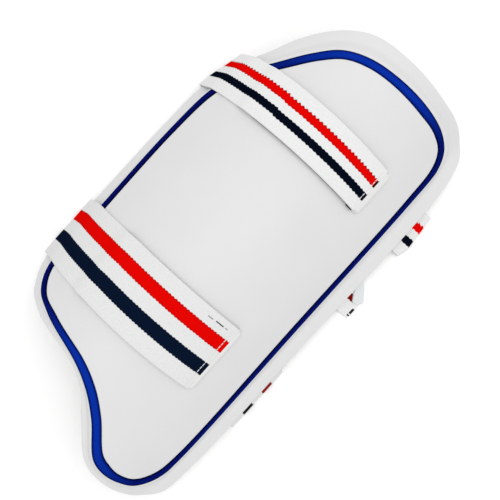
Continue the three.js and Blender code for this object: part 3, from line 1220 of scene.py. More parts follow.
def webbing(
    name: str,
    columns: Sequence[Sequence[Vector]],
    acrosses: Sequence[float],
    thickness: float,
    jog: Callable[[float], float] = lambda along: 0.0,
) -> bpy.types.Object:
    """Shapes a grid into a flat band with rounded edges.

    Args:
        name: the piece's name.
        columns: for each place across, the band's middle line in the frame.
        acrosses: the places across, in millimetres, for the band's map.
        thickness: the band's thickness, in millimetres.
        jog: how far the weave is shifted across at a place along, both in metres.

    Returns:
        The new piece, with its map in metres along and across.
    """
    wide, long = len(columns), len(columns[0])
    start_clean()
    bpy.ops.mesh.primitive_grid_add(x_subdivisions=long - 1, y_subdivisions=wide - 1, size=1)
    piece = bpy.context.active_object
    piece.name = name
    runs = []
    for path in columns:
        run = [0.0]
        for start, stop in zip(path, path[1:]):
            run.append(run[-1] + (stop - start).length)
        runs.append(run)
    bpy.ops.object.mode_set(mode="EDIT")
    cloth = bmesh.from_edit_mesh(piece.data)
    # The new grid is one metre square about the origin, so a place on it gives its column and its step.
    spots = {
        vert: (round((vert.co.y + 0.5) * (wide - 1)), round((vert.co.x + 0.5) * (long - 1)))
        for vert in cloth.verts
    }
    weave = cloth.loops.layers.uv.verify()
    for face in cloth.faces:
        for corner in face.loops:
            column, step = spots[corner.vert]
            along = runs[column][step]
            corner[weave].uv = (along, acrosses[column] * MM + jog(along))
    for vert, (column, step) in spots.items():
        vert.co = columns[column][step]
    bpy.ops.object.mode_set(mode="OBJECT")
    piece.data.uv_layers[0].name = "weave"
    apply_modifier(piece, "SOLIDIFY", thickness=thickness * MM, offset=0.0)
    round_edges(piece, thickness * BAND_ROUND)
    close_up()
    return piece


def sew(name: str, thick: float, runs: Sequence[tuple[Vector, Vector]]) -> bpy.types.Object:
    """Models one stitch and copies it along each run of thread.

    Args:
        name: the piece's name.
        thick: the thread's thickness, in millimetres.
        runs: the two ends of each stitch, in the frame.

    Returns:
        All stitches as one piece.
    """
    length = (runs[0][1] - runs[0][0]).length
    start_clean()
    bpy.ops.mesh.primitive_cylinder_add(
        vertices=10, radius=thick / 2 * MM, depth=length, rotation=(math.pi / 2, 0, 0)
    )
    first = bpy.context.active_object
    bpy.ops.object.transform_apply(location=False, rotation=True, scale=True)
    round_edges(first, thick * THREAD_ROUND)
    bpy.ops.object.shade_smooth_by_angle(angle=SMOOTH_ANGLE)
    copies = []
    for start, stop in runs:
        copy = first.copy()
        copy.data = first.data.copy()
        bpy.context.collection.objects.link(copy)
        copy.location = (start + stop) / 2
        copy.rotation_euler = (stop - start).to_track_quat("Y", "Z").to_euler()
        copy.scale = (1.0, (stop - start).length / length, 1.0)
        copies.append(copy)
    bpy.data.objects.remove(first)
    sewn = join(copies)
    sewn.name = name
    return sewn


def dress(
    piece: bpy.types.Object, finishes: Sequence[Finish], slot: str, *nodes: str
) -> bpy.types.Object:
    """Dresses a piece, puts it on the pad and logs it.

    Args:
        piece: the modelled piece.
        finishes: the finishes that it doesn't have yet, in the order of its faces' material numbers.
        slot: the record's material slot; not used.
        nodes: the solids that the piece stands for.

    Returns:
        The same piece.
    """
    for finish in finishes:
        piece.data.materials.append(finish.material())
    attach(piece, BODY)
    if nodes:
        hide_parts(*nodes)
    LOG.info("%s: %d faces of %s", piece.name, len(piece.data.polygons), piece.data.materials[0].name)
    return piece


def flat_rows(h: float) -> list[Row]:
    """Lists the rows of a flat side that faces another layer.

    Args:
        h: the side's height.

    Returns:
        The rows, from the spine to near the rim.
    """
    rows = [Row(Zone.SPINE, 0.0, h)]
    rows += [Row(Zone.CORE, at, h) for at in FLAT_CORE]
    rows += [Row(Zone.FLANGE, at, h) for at in FLAT_FLANGE]
    return rows


def rim_rows(start: float, stop: float, radius: float, count: int, overhang: float) -> list[Row]:
    """Lists the rows of a layer's rounded rim.

    Args:
        start: height of the side where it starts.
        stop: height of the side where it ends.
        radius: radius of its two rounds.
        count: steps for each round.
        overhang: how far it stands out past the edge.

    Returns:
        The rows, in order.
    """
    way = math.copysign(radius, stop - start)
    angles = spread(count, 0, math.pi / 2)
    rows = []
    for angle in angles:
        inset = radius * (1 - math.sin(angle)) - overhang
        rows.append(Row(Zone.EDGE, inset, start + way * (1 - math.cos(angle))))
    for angle in angles:
        inset = radius * (1 - math.cos(angle)) - overhang
        rows.append(Row(Zone.EDGE, inset, stop - way * (1 - math.sin(angle))))
    return rows


@dataclass
class MouldedFront:
    """The moulded foam front: a plateau, a groove for the blue line, a shoulder and a thin flange.

    Attributes:
        outer_lip: how far the groove's outer lip is below the plateau.
        inner_lip: how far its inner lip is below the plateau.
        lip_sag: how far a lip has dropped where its round begins.
        lip_rises: past the inner lip, places from the groove and how far they are above the lip.
        flange_span: where the flange's rows begin and end, from the edge to the line.
        plateau_span: where the plateau's rows begin and end, from the line to the spine.
        shoulder_start: where the shoulder starts to rise, from the edge to the line.
        flange_crown: how far the flange's middle is raised.
        rim_pucker: share of the dents' depth on the rim.
        pucker_fade: where on the shoulder they begin to fade, and where they are gone.
        fine_pucker: share of their depth that finer dents have.
        fine_size: how many times finer these are.
    """

    layout: PadLayout
    groove_depth: float = 1.6
    outer_lip: float = 0.8
    inner_lip: float = 0.3
    lip_round: float = 0.15
    lip_sag: float = 0.03
    lip_rises: tuple[tuple[float, float], ...] = ((0.6, 0.12), (1.6, 0.24))
    rim_steps: int = 5
    flange_steps: int = 12
    flange_span: tuple[float, float] = (0.3, 0.96)
    plateau_steps: int = 8
    plateau_span: tuple[float, float] = (0.1, 0.9)
    shoulder_start: float = 0.45
    flange_crown: float = 0.25
    pucker_depth: float = 0.22
    pucker_size: float = 9.0
    rim_pucker: float = 0.7
    pucker_fade: tuple[float, float] = (0.5, 0.8)
    fine_pucker: float = 0.5
    fine_size: float = 2.7

    def flange_height(self, share: float) -> float:
        """Finds the height of the flange and the shoulder.

        Args:
            share: share of the way from the edge to the blue line.

        Returns:
            The height.
        """
        lip = LAYERS.plateau - self.outer_lip
        crown = self.flange_crown * math.sin(math.pi * min(1.0, share / self.shoulder_start))
        return lerp(LAYERS.flange + crown, lip, smoothstep(share, self.shoulder_start, 1.0))

    def rows(self) -> list[Row]:
        """Lists the section's rows.

        Returns:
            The rows, from the spine below, round the rim, to the spine above.
        """
        half = self.layout.line_width / 2
        outer = LAYERS.plateau - self.outer_lip
        inner = LAYERS.plateau - self.inner_lip
        rows = flat_rows(0.0)
        rows += rim_rows(0.0, LAYERS.flange, LAYERS.edge_round, self.rim_steps, 0.0)
        for share in spread(self.flange_steps, *self.flange_span):
            rows.append(Row(Zone.FLANGE, share, self.flange_height(share)))
        rows += [
            Row(Zone.LINE, half + self.lip_round, outer - self.lip_sag),
            Row(Zone.LINE, half, outer - self.lip_round),
            Row(Zone.LINE, half, outer - self.groove_depth),
            Row(Zone.LINE, -half, inner - self.groove_depth),
            Row(Zone.LINE, -half, inner - self.lip_round),
            Row(Zone.LINE, -half - self.lip_round, inner - self.lip_sag),
        ]
        rows += [Row(Zone.LINE, -half - away, inner + rise) for away, rise in self.lip_rises]
        for at in spread(self.plateau_steps, *self.plateau_span):
            rows.append(Row(Zone.CORE, at, LAYERS.plateau))
        rows.append(Row(Zone.SPINE, 0.0, LAYERS.plateau))
        return rows

    def pucker(self, row: Row, flat: Vector) -> float:
        """Small dents that the flange has from pressing.

        Args:
            row: the row of the section.
            flat: the place on the flat pad.

        Returns:
            How far the surface is raised there.
        """
        if row.zone is Zone.EDGE and row.h >= LAYERS.flange / 2:
            weight = self.rim_pucker
        elif row.zone is Zone.FLANGE and row.h > 0:
            weight = 1.0 - smoothstep(row.at, *self.pucker_fade)
        else:
            return 0.0
        spot = Vector((flat.x, flat.y, 0.0)) / self.pucker_size
        dents = noise.noise(spot) + self.fine_pucker * noise.noise(spot * self.fine_size)
        return weight * self.pucker_depth * dents

    def build(self) -> bpy.types.Object:
        """Models and dresses the front.

        Returns:
            The finished piece.
        """
        piece = loft("moulded_front", self.layout, self.rows(), self.pucker)
        dress(piece, [FACING], "moulded_facing", "front_shell")
        return piece


@dataclass
class PaddedBack:
    """The soft padded back, sewn to the front along the edge.

    Attributes:
        core_span: where the rows inside the line begin and end, from the line to the spine.
        crown_full: where between the line and the spine the padding has its full crown.
    """

    layout: PadLayout
    rim_round: float = 1.8
    rim_steps: int = 6
    flange_shares: tuple[float, ...] = (0.3, 0.5, 0.7, 0.9)
    core_steps: int = 12
    core_span: tuple[float, float] = (0.06, 0.94)
    crown_full: float = 0.45
    crown: float = 1.2
    ripple: float = 0.3
    ripple_size: float = 26.0

    def rows(self) -> list[Row]:
        """Lists the section's rows.

        Returns:
            The rows, from the spine above, round the rim, to the spine below.
        """
        rows = flat_rows(-LAYERS.gap)
        rows += rim_rows(-LAYERS.gap, -LAYERS.back, self.rim_round, self.rim_steps, LAYERS.overhang)
        rows += [Row(Zone.FLANGE, at, -LAYERS.back) for at in self.flange_shares]
        for at in spread(self.core_steps, *self.core_span):
            crown = self.crown * smoothstep(at, self.core_span[0], self.crown_full)
            rows.append(Row(Zone.CORE, at, -LAYERS.back - crown))
        rows.append(Row(Zone.SPINE, 0.0, -LAYERS.back - self.crown))
        return rows

    def slack(self, row: Row, flat: Vector) -> float:
        """Soft ripples of the cover below the padding.

        Args:
            row: the row of the section.
            flat: the place on the flat pad.

        Returns:
            How far the surface is raised there.
        """
        depth = self.ripple * smoothstep(-row.h, LAYERS.back, LAYERS.back + self.crown)
        return depth * noise.noise(Vector((flat.x, flat.y, 0.0)) / self.ripple_size)

    def build(self) -> bpy.types.Object:
        """Models and dresses the back.

        Returns:
            The finished piece.
        """
        piece = loft("padded_back", self.layout, self.rows(), self.slack)
        dress(piece, [COVER], "back_cover", "back_pad")
        return piece


@dataclass
class InlaidLine:
    """The blue line: piping that lies in the groove round the plateau.

    Attributes:
        shoulder: how far its sides end below the groove's lips.
        crown_span: where the crown's rows begin and end, from its outer side to its inner one.
        rim_shade_span: where the painted shade along its rims begins and is darkest, from its middle at
            0 to its side at 1.
    """

    layout: PadLayout
    front: MouldedFront
    crown: float = 0.45
    depth: float = 0.9
    shoulder: float = 0.12
    clearance: float = 0.03
    crown_steps: int = 10
    crown_span: tuple[float, float] = (0.04, 0.96)
    rim_shade_span: tuple[float, float] = (0.35, 0.95)

    def build(self) -> bpy.types.Object:
        """Models and dresses the line.

        Returns:
            The finished piece.
        """
        half = self.layout.line_width / 2 - self.clearance
        outer = LAYERS.plateau - self.front.outer_lip
        inner = LAYERS.plateau - self.front.inner_lip
        rows = [Row(Zone.LINE, half, outer - self.depth), Row(Zone.LINE, half, outer - self.shoulder)]
        for share in spread(self.crown_steps, *self.crown_span):
            level = lerp(outer, inner, share) + self.crown * math.sin(math.pi * share)
            rows.append(Row(Zone.LINE, lerp(half, -half, share), level))
        rows += [Row(Zone.LINE, -half, inner - self.shoulder), Row(Zone.LINE, -half, inner - self.depth)]
        rows.append(rows[0])
        # Its rims take painted shade, deepest near its sides.
        piece = loft(
            "blue_piping",
            self.layout,
            rows,
            rim=lambda row: smoothstep(abs(row.at) / half, *self.rim_shade_span),
        )
        return dress(piece, [PIPING], "blue_inlay", "blue_line")


def floor_middle(layout: PadLayout) -> float:
    """Finds the height of the middle of an elastic that lies on the floor.

    Args:
        layout: the pad's layout.

    Returns:
        The height, in the layout's millimetres.
    """
    places = [p.x for p in layout.edge]
    left = layout.bend(min(places) + LAYERS.edge_round, 0, -LAYERS.back).z
    right = layout.bend(max(places), 0, -LAYERS.back).z
    lowest = min(left, right - LAYERS.gap - LAYERS.elastic)
    return lowest - LAYERS.rim_clearance - LAYERS.elastic / 2


def sewn_run(layout: PadLayout, edge_u: float, v: float, count: int) -> list[Vector]:
    """Runs an elastic under the right flange, from near the edge inwards.

    Args:
        layout: the pad's layout.
        edge_u: the pad's edge at that height.
        v: height along the pad.
        count: number of steps.

    Returns:
        Bent points.
    """
    places = spread(count, edge_u - 2 * LAYERS.edge_round, edge_u - LAYERS.sewn_length)
    return [layout.bend(u, v, LAYERS.sewn_middle) for u in places]


@dataclass(frozen=True)
class ShadowDash:
    """A dash of painted shadow near a strap's edge: its ends across the pad, its place along, its
    height, its finish.
    """

    ends: tuple[float, float]
    v: float
    h: float
    finish: Finish


@dataclass
class ElasticStrap:
    """A striped elastic: over the front, round the left edge, behind the leg, and sewn at the right.

    Attributes:
        v: its middle along the pad.
        end_u: its front end across the pad.
        tab_u: the right end of its tape, past its own.
        tape_u: the left end of its tape.
        reach: how far its fold at the right stands out past the flange.
        slide: how far it has slid along the pad at the left edge.
        drift: how far it slides on over that edge.
        jog: how far its weave is shifted across past the tape.
        sewn_shift: how far its sewn end is shifted along the pad.
        sewn_stretch: how many times wider it is spread there.
        stitch_inset: how far its end stitches are from its front end.
        fold_lean: how much further its fold stands out at the lower edge than at the upper one.
        fold_round: how far the fold's lower corner is rounded off.
        fold_corner: where that corner begins, from the strap's middle at 0 to its edge at 0.5.
        back_steps: steps of each of the two stretches behind the leg.
        kink_reach: how many points on each side take the kinks out of a line.
        wrap_cut: how far from its corner the wrap round the left edge begins.
        landing: how far from that corner the strap comes down on the floor.
        tape_ramp: length of the ramp up on the tape.
        edge_stiffness: how far the strap keeps straight where the pad's side is curved.
        patch_margin: how much smaller the loop patch is than the tape, on each side.
        edge_wave: how far the strap's edges wave up and down.
        wave_across: how much the wave differs from edge to edge.
        wave_power: how fast it fades towards the strap's middle.
        hem_round: width of the hem's rounded end.
        hem_side: width of its rounded sides.
        round_steps: lines in a rounded corner of tape and patch.
        side_steps: lines between their corners.
        pinch: how far the strap is pulled down at the left end of its tape.
        pinch_width: width of that dip.
        jog_blend: length in which the weave shifts.
    """

    layout: PadLayout
    name: str
    weave: StripedElastic
    hooks: NylonPile
    v: float
    width: float
    end_u: float
    tab_u: float
    tape_u: float
    reach: float
    slide: float
    drift: float
    jog: float
    sewn_shift: float
    sewn_stretch: float
    stitch_inset: float
    # Dashes of painted shadow in the gaps near the strap's edges.
    shadow_dashes: tuple[ShadowDash, ...]
    fold_lean: float = 0.0
    fold_round: float = 0.0
    fold_corner: float = 0.3
    columns: int = 15
    front_steps: int = 170
    down_steps: int = 24
    back_steps: int = 30
    turn_steps: int = 14
    kink_reach: int = 4
    wrap_cut: float = 8.0
    landing: float = 90.0
    tape_ramp: float = 9.0
    edge_stiffness: float = 0.35
    patch_margin: float = 2.0
    corner_radius: float = 4.0
    edge_wave: float = 0.15
    wave_length: float = 14.0
    wave_across: float = 3.0
    wave_power: int = 3
    hem_round: float = 3.5
    hem_side: float = 2.2
    hem_gap: float = 0.1
    plate_steps: int = 100
    hem_steps: int = 12
    round_steps: int = 6
    side_steps: int = 8
    stitch_pitch: float = 3.0
    stitch_length: float = 2.5
    thread: float = 0.7
    # Thickness of those dashes of painted shadow.
    dash_thick: float = 0.95
    pinch: float = 0.35
    pinch_width: float = 2.0
    jog_blend: float = 1.0

    def front_height(self, u: float, across: float) -> float:
        """Height of the strap's middle on the plateau.

        Args:
            u: place across the pad.
            across: place across the strap, from -0.5 to 0.5.

        Returns:
            The height, with the tape's lift, the pinch where the tape ends and the wave of the edges.
        """
        ramp = self.tape_ramp
        lift = LAYERS.tape_lift * smoothstep(u, self.tape_u - 2 * ramp, self.tape_u - ramp)
        pinch = self.pinch * math.exp(-(((u - self.tape_u) / self.pinch_width) ** 2))
        spot = Vector((u / self.wave_length, self.v, across * self.wave_across))
        wave = self.edge_wave * noise.noise(spot)
        return LAYERS.strap_middle + lift - pinch + wave * abs(2 * across) ** self.wave_power

    def fold_reach(self, across: float) -> float:
        """How far the fold at the right stands out past the flange.

        Args:
            across: place across the strap, from -0.5 to 0.5.

        Returns:
            The distance, with the fold's lean and its rounded lower corner.
        """
        corner = smoothstep(-across, self.fold_corner, 0.5)
        return self.reach - self.fold_lean * across - self.fold_round * corner

    def left_side(self, points: Sequence[Vector], v: float) -> float:
        """Finds where a line of the strap crosses the left of an outline.

        Args:
            points: the outline.
            v: the line's height along the pad.

        Returns:
            The place across, which the strap's stiffness draws towards that of its lower edge.
        """
        own = self.layout.crossing(points, v, -1)
        lower_edge = self.layout.crossing(points, self.v + self.slide - self.width / 2, -1)
        return lerp(own, min(own, lower_edge), self.edge_stiffness)

    def column(self, across: float) -> list[Vector]:
        """Runs one line of the strap along its whole way.

        Args:
            across: place across the strap, from -0.5 to 0.5.

        Returns:
            The line's points in the frame, from the front end to the sewn end.
        """
        layout = self.layout
        v = self.v + across * self.width
        left_v = v + self.slide
        sewn_v = self.v + across * self.width * self.sewn_stretch + self.sewn_shift
        floor = floor_middle(layout)

        edge_left = self.left_side(layout.edge, left_v)
        line_left = self.left_side(layout.line, left_v) - layout.line_width / 2
        front = []
        for u in spread(self.front_steps, self.end_u, line_left):
            slid = self.slide * max(0.0, (self.tape_u - u) / (self.tape_u - edge_left))
            front.append(layout.bend(u, v + slid, self.front_height(u, across)))
        shoulder = front[-1]
        tip_h = LAYERS.flange + 2 * LAYERS.gap + LAYERS.elastic / 2
        tip = layout.bend(edge_left, left_v + self.drift, tip_h)
        rim = layout.bend(edge_left + LAYERS.edge_round, left_v, -LAYERS.back)
        wrap_z = max(floor, rim.z - LAYERS.rim_clearance - LAYERS.elastic / 2)
        corner = shoulder.lerp(tip, (shoulder.z - wrap_z) / (shoulder.z - tip.z))

        edge_right = layout.crossing(layout.edge, sewn_v, 1)
        sewn = sewn_run(layout, edge_right, sewn_v, self.turn_steps)
        radius = (sewn[0].z - floor) / 2
        fold_x = layout.bend(edge_right, sewn_v, 0).x + self.fold_reach(across) - radius
        fold = []
        for turn in spread(self.turn_steps, -math.pi / 2, math.pi / 2):
            rise = floor + radius + radius * math.sin(turn)
            fold.append(Vector((fold_x + radius * math.cos(turn), sewn_v, rise)))

        landed_v = lerp(corner.y, sewn_v, self.landing / (fold_x - corner.x))
        landing = Vector((corner.x + self.landing, landed_v, floor))
        before = corner.lerp(shoulder, self.wrap_cut / (corner - shoulder).length)
        after = corner.lerp(landing, self.wrap_cut / self.landing)
        down = between(shoulder, before, self.down_steps)
        turns = spread(self.turn_steps, 0, 1)[1:]
        wrap = [before.lerp(corner, t).lerp(corner.lerp(after, t), t) for t in turns]
        away = between(after, landing, self.back_steps)
        behind = between(landing, fold[0], self.back_steps)[:-1]
        path = soften(front + down + wrap + away, self.kink_reach) + behind + fold + sewn
        return [layout.place(point) for point in path]

    def hem_height(self, inside: float, side: float) -> float:
        """Height of the tape's middle past the end of the elastic.

        Args:
            inside: distance from the tape's round end.
            side: distance from the nearer of its sides.

        Returns:
            The height: flush with the elastic, and down on the plateau along the tape's edges.
        """
        flush = self.front_height(self.end_u, 0.0) + (LAYERS.elastic - LAYERS.tape) / 2
        down = LAYERS.plateau + LAYERS.gap + LAYERS.tape / 2
        rise = smoothstep(inside, 0.0, self.hem_round) * smoothstep(side, 0.0, self.hem_side)
        return lerp(down, flush, rise)

    def plate(
        self,
        name: str,
        ends: tuple[float, float],
        width: float,
        middle: float,
        thick: float,
        hemmed: bool = False,
    ) -> bpy.types.Object:
        """Models a plate that follows the plateau, with its right corners rounded.

        Args:
            name: the piece's name.
            ends: its right and left ends across the pad.
            width: its width along the pad.
            middle: height of its middle.
            thick: its thickness.
            hemmed: whether it rises to a hem past the end of the elastic.

        Returns:
            The new piece.
        """
        radius = self.corner_radius
        near = [radius * (1 - math.cos(angle)) for angle in spread(self.round_steps, 0, math.pi / 2)]
        inner = spread(self.side_steps, radius, width - radius)[1:-1]
        offsets = near + inner + [width - offset for offset in reversed(near)]
        columns = []
        for offset in offsets:
            side = min(offset, width - offset)
            inside = max(0.0, radius - side)
            first = ends[0] - radius + math.sqrt(radius**2 - inside**2)
            v = self.v - width / 2 + offset
            path = []
            if hemmed:
                for u in spread(self.hem_steps, first, self.end_u + 2 * self.hem_gap):
                    path.append(self.layout.at(u, v, self.hem_height(first - u, side)))
                first = self.end_u + self.hem_gap
            for u in spread(self.plate_steps, first, ends[1]):
                path.append(self.layout.at(u, v, middle))
            columns.append(path)
        return webbing(name, columns, [offset - width / 2 for offset in offsets], thick)

    def stitches(self) -> bpy.types.Object:
        """Sews the front end of the strap to its tape with a row of stitches.

        Returns:
            All stitches as one piece.
        """
        row = self.end_u - self.stitch_inset
        half = self.stitch_length / self.width / 2
        count = int((self.width - 2 * self.corner_radius) / self.stitch_pitch)
        runs = []
        for i in range(count + 1):
            across = (i - count / 2) * self.stitch_pitch / self.width
            top = self.front_height(row, across) + LAYERS.elastic / 2
            start, stop = (
                self.layout.at(row, self.v + end * self.width, top)
                for end in (across - half, across + half)
            )
            runs.append((start, stop))
        return sew(f"{self.name}_stitches", self.thread, runs)

    def painted_shadow_dashes(self) -> bpy.types.Object:
        """Models the dark and grey dashes that paint shadow into the gaps near the strap's edges.

        Returns:
            All of them as one piece, with their finishes.
        """
        dash_pieces = []
        for dash in self.shadow_dashes:
            start, stop = (self.layout.at(u, dash.v, dash.h) for u in dash.ends)
            dash_piece = sew(f"{self.name}_painted_shadow_dashes", self.dash_thick, [(start, stop)])
            dash_piece.data.materials.append(dash.finish.material())
            dash_pieces.append(dash_piece)
        return join(dash_pieces)

    def build(self) -> list[bpy.types.Object]:
        """Models and dresses the strap, its hook tape, its loop patch and its stitches.

        Returns:
            The finished pieces.
        """
        acrosses = spread(self.columns - 1, -0.5, 0.5)
        tape_end = (self.end_u - self.tape_u) * MM
        blend = self.jog_blend / 2 * MM
        strap = webbing(
            f"{self.name}_elastic",
            [self.column(across) for across in acrosses],
            [across * self.width - self.weave.offset for across in acrosses],
            LAYERS.elastic,
            lambda along: self.jog * MM * smoothstep(along, tape_end - blend, tape_end + blend),
        )
        tape = self.plate(
            f"{self.name}_tape",
            (self.tab_u, self.tape_u),
            self.width,
            LAYERS.tape_middle,
            LAYERS.tape,
            hemmed=True,
        )
        hem_x = self.layout.at(self.end_u, 0.0, LAYERS.tape_middle).x
        # Faces that aren't woven take the hooks' finish, which on the upper strap is a dark grey that
        # paints in the shadow line at its edge.
        for face in tape.data.polygons:
            woven = face.normal.z > WOVEN_SIDE or face.center.x > hem_x
            face.material_index = 0 if woven else 1
        margin = self.patch_margin
        patch = self.plate(
            f"{self.name}_patch",
            (self.tab_u - margin, self.tape_u + margin),
            self.width - 2 * margin,
            LAYERS.patch_middle,
            LAYERS.patch,
        )
        return [
            dress(strap, [self.weave], "striped_elastic", f"{self.name}_strap"),
            dress(tape, [TAPE_WEAVE, self.hooks], "hook_tape", f"{self.name}_hook_tape"),
            dress(patch, [LOOP_PILE], "loop_patch", f"{self.name}_loop_patch"),
            dress(self.stitches(), [THREAD], "striped_elastic"),
            dress(self.painted_shadow_dashes(), [], "hook_tape"),
        ]


@dataclass
class EdgeTab:
    """The end of a third elastic, sewn under the right flange, with its upper corner turned over.

    Attributes:
        v: its middle along the pad.
        stripes_v: the middle of its stripes along the pad.
        steps: steps of a line past the flange, and of its sewn run.
        ends: places across it, from -0.5 to 0.5, and how far its free end stands out there.
        drop_span: where it begins to drop and where it is on the floor, as distances past the flange.
        fold: the turned corner's fold, as distances past the flange and places along.
        free: the turned corner's free edge.
        flap_rise: the turned corner's height above the elastic at its fold, in thicknesses.
        flap_gain: how much higher it is past the fold.
        flap_ramp: share of its width in which it rises.
        stitch: ends of the one stitch that shows.
    """

    layout: PadLayout
    v: float = 29.0
    width: float = 34.0
    stripes_v: float = 23.3
    columns: int = 25
    steps: int = 16
    corner_steps: int = 15
    flap_steps: int = 10
    ends: tuple[tuple[float, float], ...] = (
        (-0.5, 14.2),
        (-0.1, 14.2),
        (0.03, 14.0),
        (0.09, 13.4),
        (0.353, 6.5),
        (0.5, 0.3),
    )
    drop_span: tuple[float, float] = (-2.4, 9.0)
    fold: tuple[Vector, ...] = tuple(map(Vector, ((0.3, 46.0), (7.5, 41.0), (14.7, 32.3), (15.2, 30.2))))
    free: tuple[Vector, ...] = tuple(map(Vector, ((0.2, 37.5), (3.1, 31.8), (7.9, 25.6), (11.9, 26.8))))
    flap_rise: float = 0.55
    flap_gain: float = 0.5
    flap_ramp: float = 0.3
    stitch: tuple[Vector, ...] = tuple(map(Vector, ((11.2, 16.1), (14.3, 16.1))))
    thread: float = 1.3

    def reach(self, across: float) -> float:
        """Finds how far the free end stands out past the flange.

        Args:
            across: place across the elastic, from -0.5 to 0.5.

        Returns:
            The distance.
        """
        for (start, low), (stop, high) in zip(self.ends, self.ends[1:]):
            if across <= stop:
                return lerp(low, high, (across - start) / (stop - start))
        return self.ends[-1][1]

    def flange_x(self, v: float) -> float:
        """Place of the flange's edge in the layout's bent millimetres."""
        return self.layout.bend(self.layout.crossing(self.layout.edge, v, 1), v, 0).x

    def height(self, out: float, v: float) -> float:
        """Height of the elastic's middle so far out past the flange."""
        start = sewn_run(self.layout, self.layout.crossing(self.layout.edge, v, 1), v, 1)[0].z
        return lerp(start, floor_middle(self.layout), smoothstep(out, *self.drop_span))

    def base(self) -> bpy.types.Object:
        """Models the end itself, from its free edge on the floor to under the flange.

        Returns:
            The new piece.
        """
        paths, places = [], []
        for across in spread(self.columns - 1, -0.5, 0.5):
            v = self.v + across * self.width
            edge_u = self.layout.crossing(self.layout.edge, v, 1)
            sewn = sewn_run(self.layout, edge_u, v, self.steps)
            flange = self.flange_x(v)
            free = [
                Vector((flange + out, v, self.height(out, v)))
                for out in spread(self.steps, self.reach(across), sewn[0].x - flange)
            ]
            paths.append([self.layout.place(point) for point in free[:-1] + sewn])
            places.append(v - self.stripes_v)
        return webbing("edge_tab_elastic", paths, places, LAYERS.elastic)

    def spot(self, flat: Vector, rise: float) -> Vector:
        """Puts a place on the tab in the frame.

        Args:
            flat: its distance past the flange, and its place along the pad.
            rise: its height above the elastic's middle.

        Returns:
            The place, in metres.
        """
        height = self.height(flat.x, self.v) + rise
        return self.layout.place(Vector((self.flange_x(flat.y) + flat.x, flat.y, height)))

    def turned_corner(self) -> bpy.types.Object:
        """Models the corner that is turned over along a slanting fold.

        Returns:
            The new piece.
        """
        paths = []
        for share in spread(self.corner_steps, 0, 1):
            start, stop = trace(self.fold, share), trace(self.free, share)
            path = []
            for step in spread(self.flap_steps, 0, 1):
                gain = self.flap_gain * smoothstep(step, 0.0, self.flap_ramp)
                rise = LAYERS.elastic * (self.flap_rise + gain)
                path.append(self.spot(start.lerp(stop, step), rise))
            paths.append(path)
        return webbing("turned_corner", paths, [0.0] * len(paths), LAYERS.elastic)

    def build(self) -> bpy.types.Object:
        """Models and dresses the tab.

        Returns:
            The finished piece.
        """
        start, stop = (self.spot(end, LAYERS.elastic / 2) for end in self.stitch)
        stitch = sew("end_stitch", self.thread, [(start, stop)])
        pieces = [self.base(), self.turned_corner(), stitch]
        for piece, finish in zip(pieces, (TAB_WEAVE, TAB_BACK, THREAD)):
            piece.data.materials.append(finish.material())
        return dress(join(pieces), [], "striped_elastic", "edge_tab")


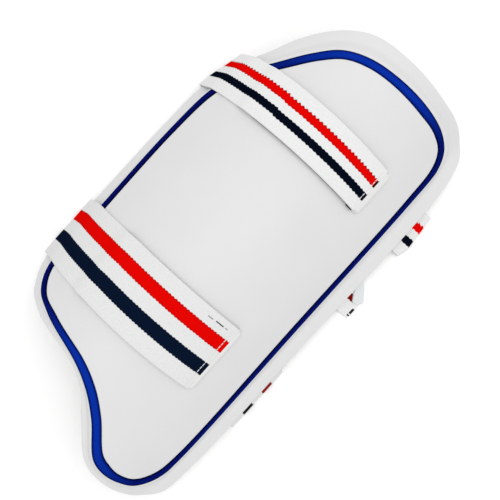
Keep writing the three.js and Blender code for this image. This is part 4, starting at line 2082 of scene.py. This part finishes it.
@dataclass
class Studio:
    """A pale floor, soft light and the camera straight above the pad.

    The floor's size and the lamp's place and size are metres.
    """

    layout: PadLayout
    camera_at: tuple[float, float, float] = (25.16, 0.0, 440.0)
    roll: float = 42.0
    lens: float = 41.84
    sensor: float = 36.0
    near_clip: float = 10.0
    floor_size: float = 8.0
    floor_thick: float = 20.0
    floor_round: float = 6.0
    floor_drop: float = 0.2
    surround: float = 0.78
    lamp_at: tuple[float, float, float] = (0.0, 0.2, 1.6)
    lamp_size: float = 1.5
    lamp_power: float = 11.8

    def build_floor(self) -> None:
        """Lays the floor just under the pad."""
        start_clean()
        bpy.ops.mesh.primitive_plane_add(size=self.floor_size, location=(0, 0, -self.floor_drop * MM))
        floor = bpy.context.active_object
        floor.name = "studio_floor"
        apply_modifier(floor, "SOLIDIFY", thickness=self.floor_thick * MM, offset=-1.0)
        round_edges(floor, self.floor_round)
        floor.data.materials.append(PAPER.material())

    def build_lights(self) -> None:
        """Lights the pad with an even white surround and one large soft light from above."""
        world = bpy.data.worlds.new("studio_surround")
        world.use_nodes = True
        backdrop = world.node_tree.nodes["Background"]
        backdrop.inputs["Color"].default_value = srgb("#FFFFFF")
        backdrop.inputs["Strength"].default_value = self.surround
        bpy.context.scene.world = world
        light = bpy.data.lights.new("soft_box", "AREA")
        light.size = self.lamp_size
        light.energy = self.lamp_power
        lamp = bpy.data.objects.new("soft_box", light)
        lamp.location = self.lamp_at
        lamp.rotation_euler = (-lamp.location).to_track_quat("-Z", "Y").to_euler()
        bpy.context.scene.collection.objects.link(lamp)

    def build_camera(self) -> None:
        """Sets the camera at the photograph's viewing angle."""
        data = bpy.data.cameras.new("camera")
        data.lens = self.lens
        data.sensor_width = self.sensor
        data.clip_start = self.near_clip * MM
        camera = bpy.data.objects.new("camera", data)
        camera.location = self.layout.place(Vector(self.camera_at))
        camera.rotation_euler = (0.0, 0.0, math.radians(self.roll))
        bpy.context.scene.collection.objects.link(camera)
        bpy.context.scene.camera = camera

    def build(self) -> None:
        """Builds the whole studio, with plain colours in the picture."""
        self.build_camera()
        self.build_floor()
        self.build_lights()
        bpy.context.scene.view_settings.view_transform = "Standard"


def main() -> None:
    """Builds the pad's pieces in order, then the studio."""
    logging.basicConfig(level=logging.INFO, format="%(name)s: %(message)s")
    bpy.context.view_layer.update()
    layout = PadLayout()
    front = MouldedFront(layout)
    front.build()
    PaddedBack(layout).build()
    InlaidLine(layout, front).build()
    ElasticStrap(
        layout,
        "upper",
        UPPER_WEAVE,
        SHADOW_GREY_HOOKS,
        v=95,
        width=40,
        end_u=59,
        tab_u=66,
        tape_u=-37,
        reach=9.9,
        slide=0.8,
        drift=0.0,
        jog=-0.7,
        sewn_shift=8,
        sewn_stretch=1.08,
        stitch_inset=2.9,
        # A dash of painted shadow under the strap's lower edge, near its end.
        shadow_dashes=(ShadowDash((52.2, 58.4), 74.6, 12.4, DARK_SHADOW_DASH),),
        fold_lean=3.25,
        fold_round=2.9,
    ).build()
    ElasticStrap(
        layout,
        "lower",
        LOWER_WEAVE,
        WHITE_HOOKS,
        v=-80.5,
        width=60,
        end_u=56,
        tab_u=61,
        tape_u=-37,
        reach=3.6,
        slide=-5.0,
        drift=-2.8,
        jog=0.0,
        sewn_shift=-11.2,
        sewn_stretch=1.07,
        stitch_inset=3.9,
        # Dashes of painted shadow in the gaps near the strap's upper edge, by its end.
        shadow_dashes=(
            ShadowDash((37.4, 44.3), -56.2, 14.7, DARK_SHADOW_DASH),
            ShadowDash((30.7, 35.2), -56.7, 14.7, GREY_SHADOW_DASH),
            ShadowDash((45.7, 48.1), -56.1, 14.7, GREY_SHADOW_DASH),
        ),
        columns=21,
    ).build()
    EdgeTab(layout).build()
    Studio(layout).build()


if __name__ == "__main__":
    main()
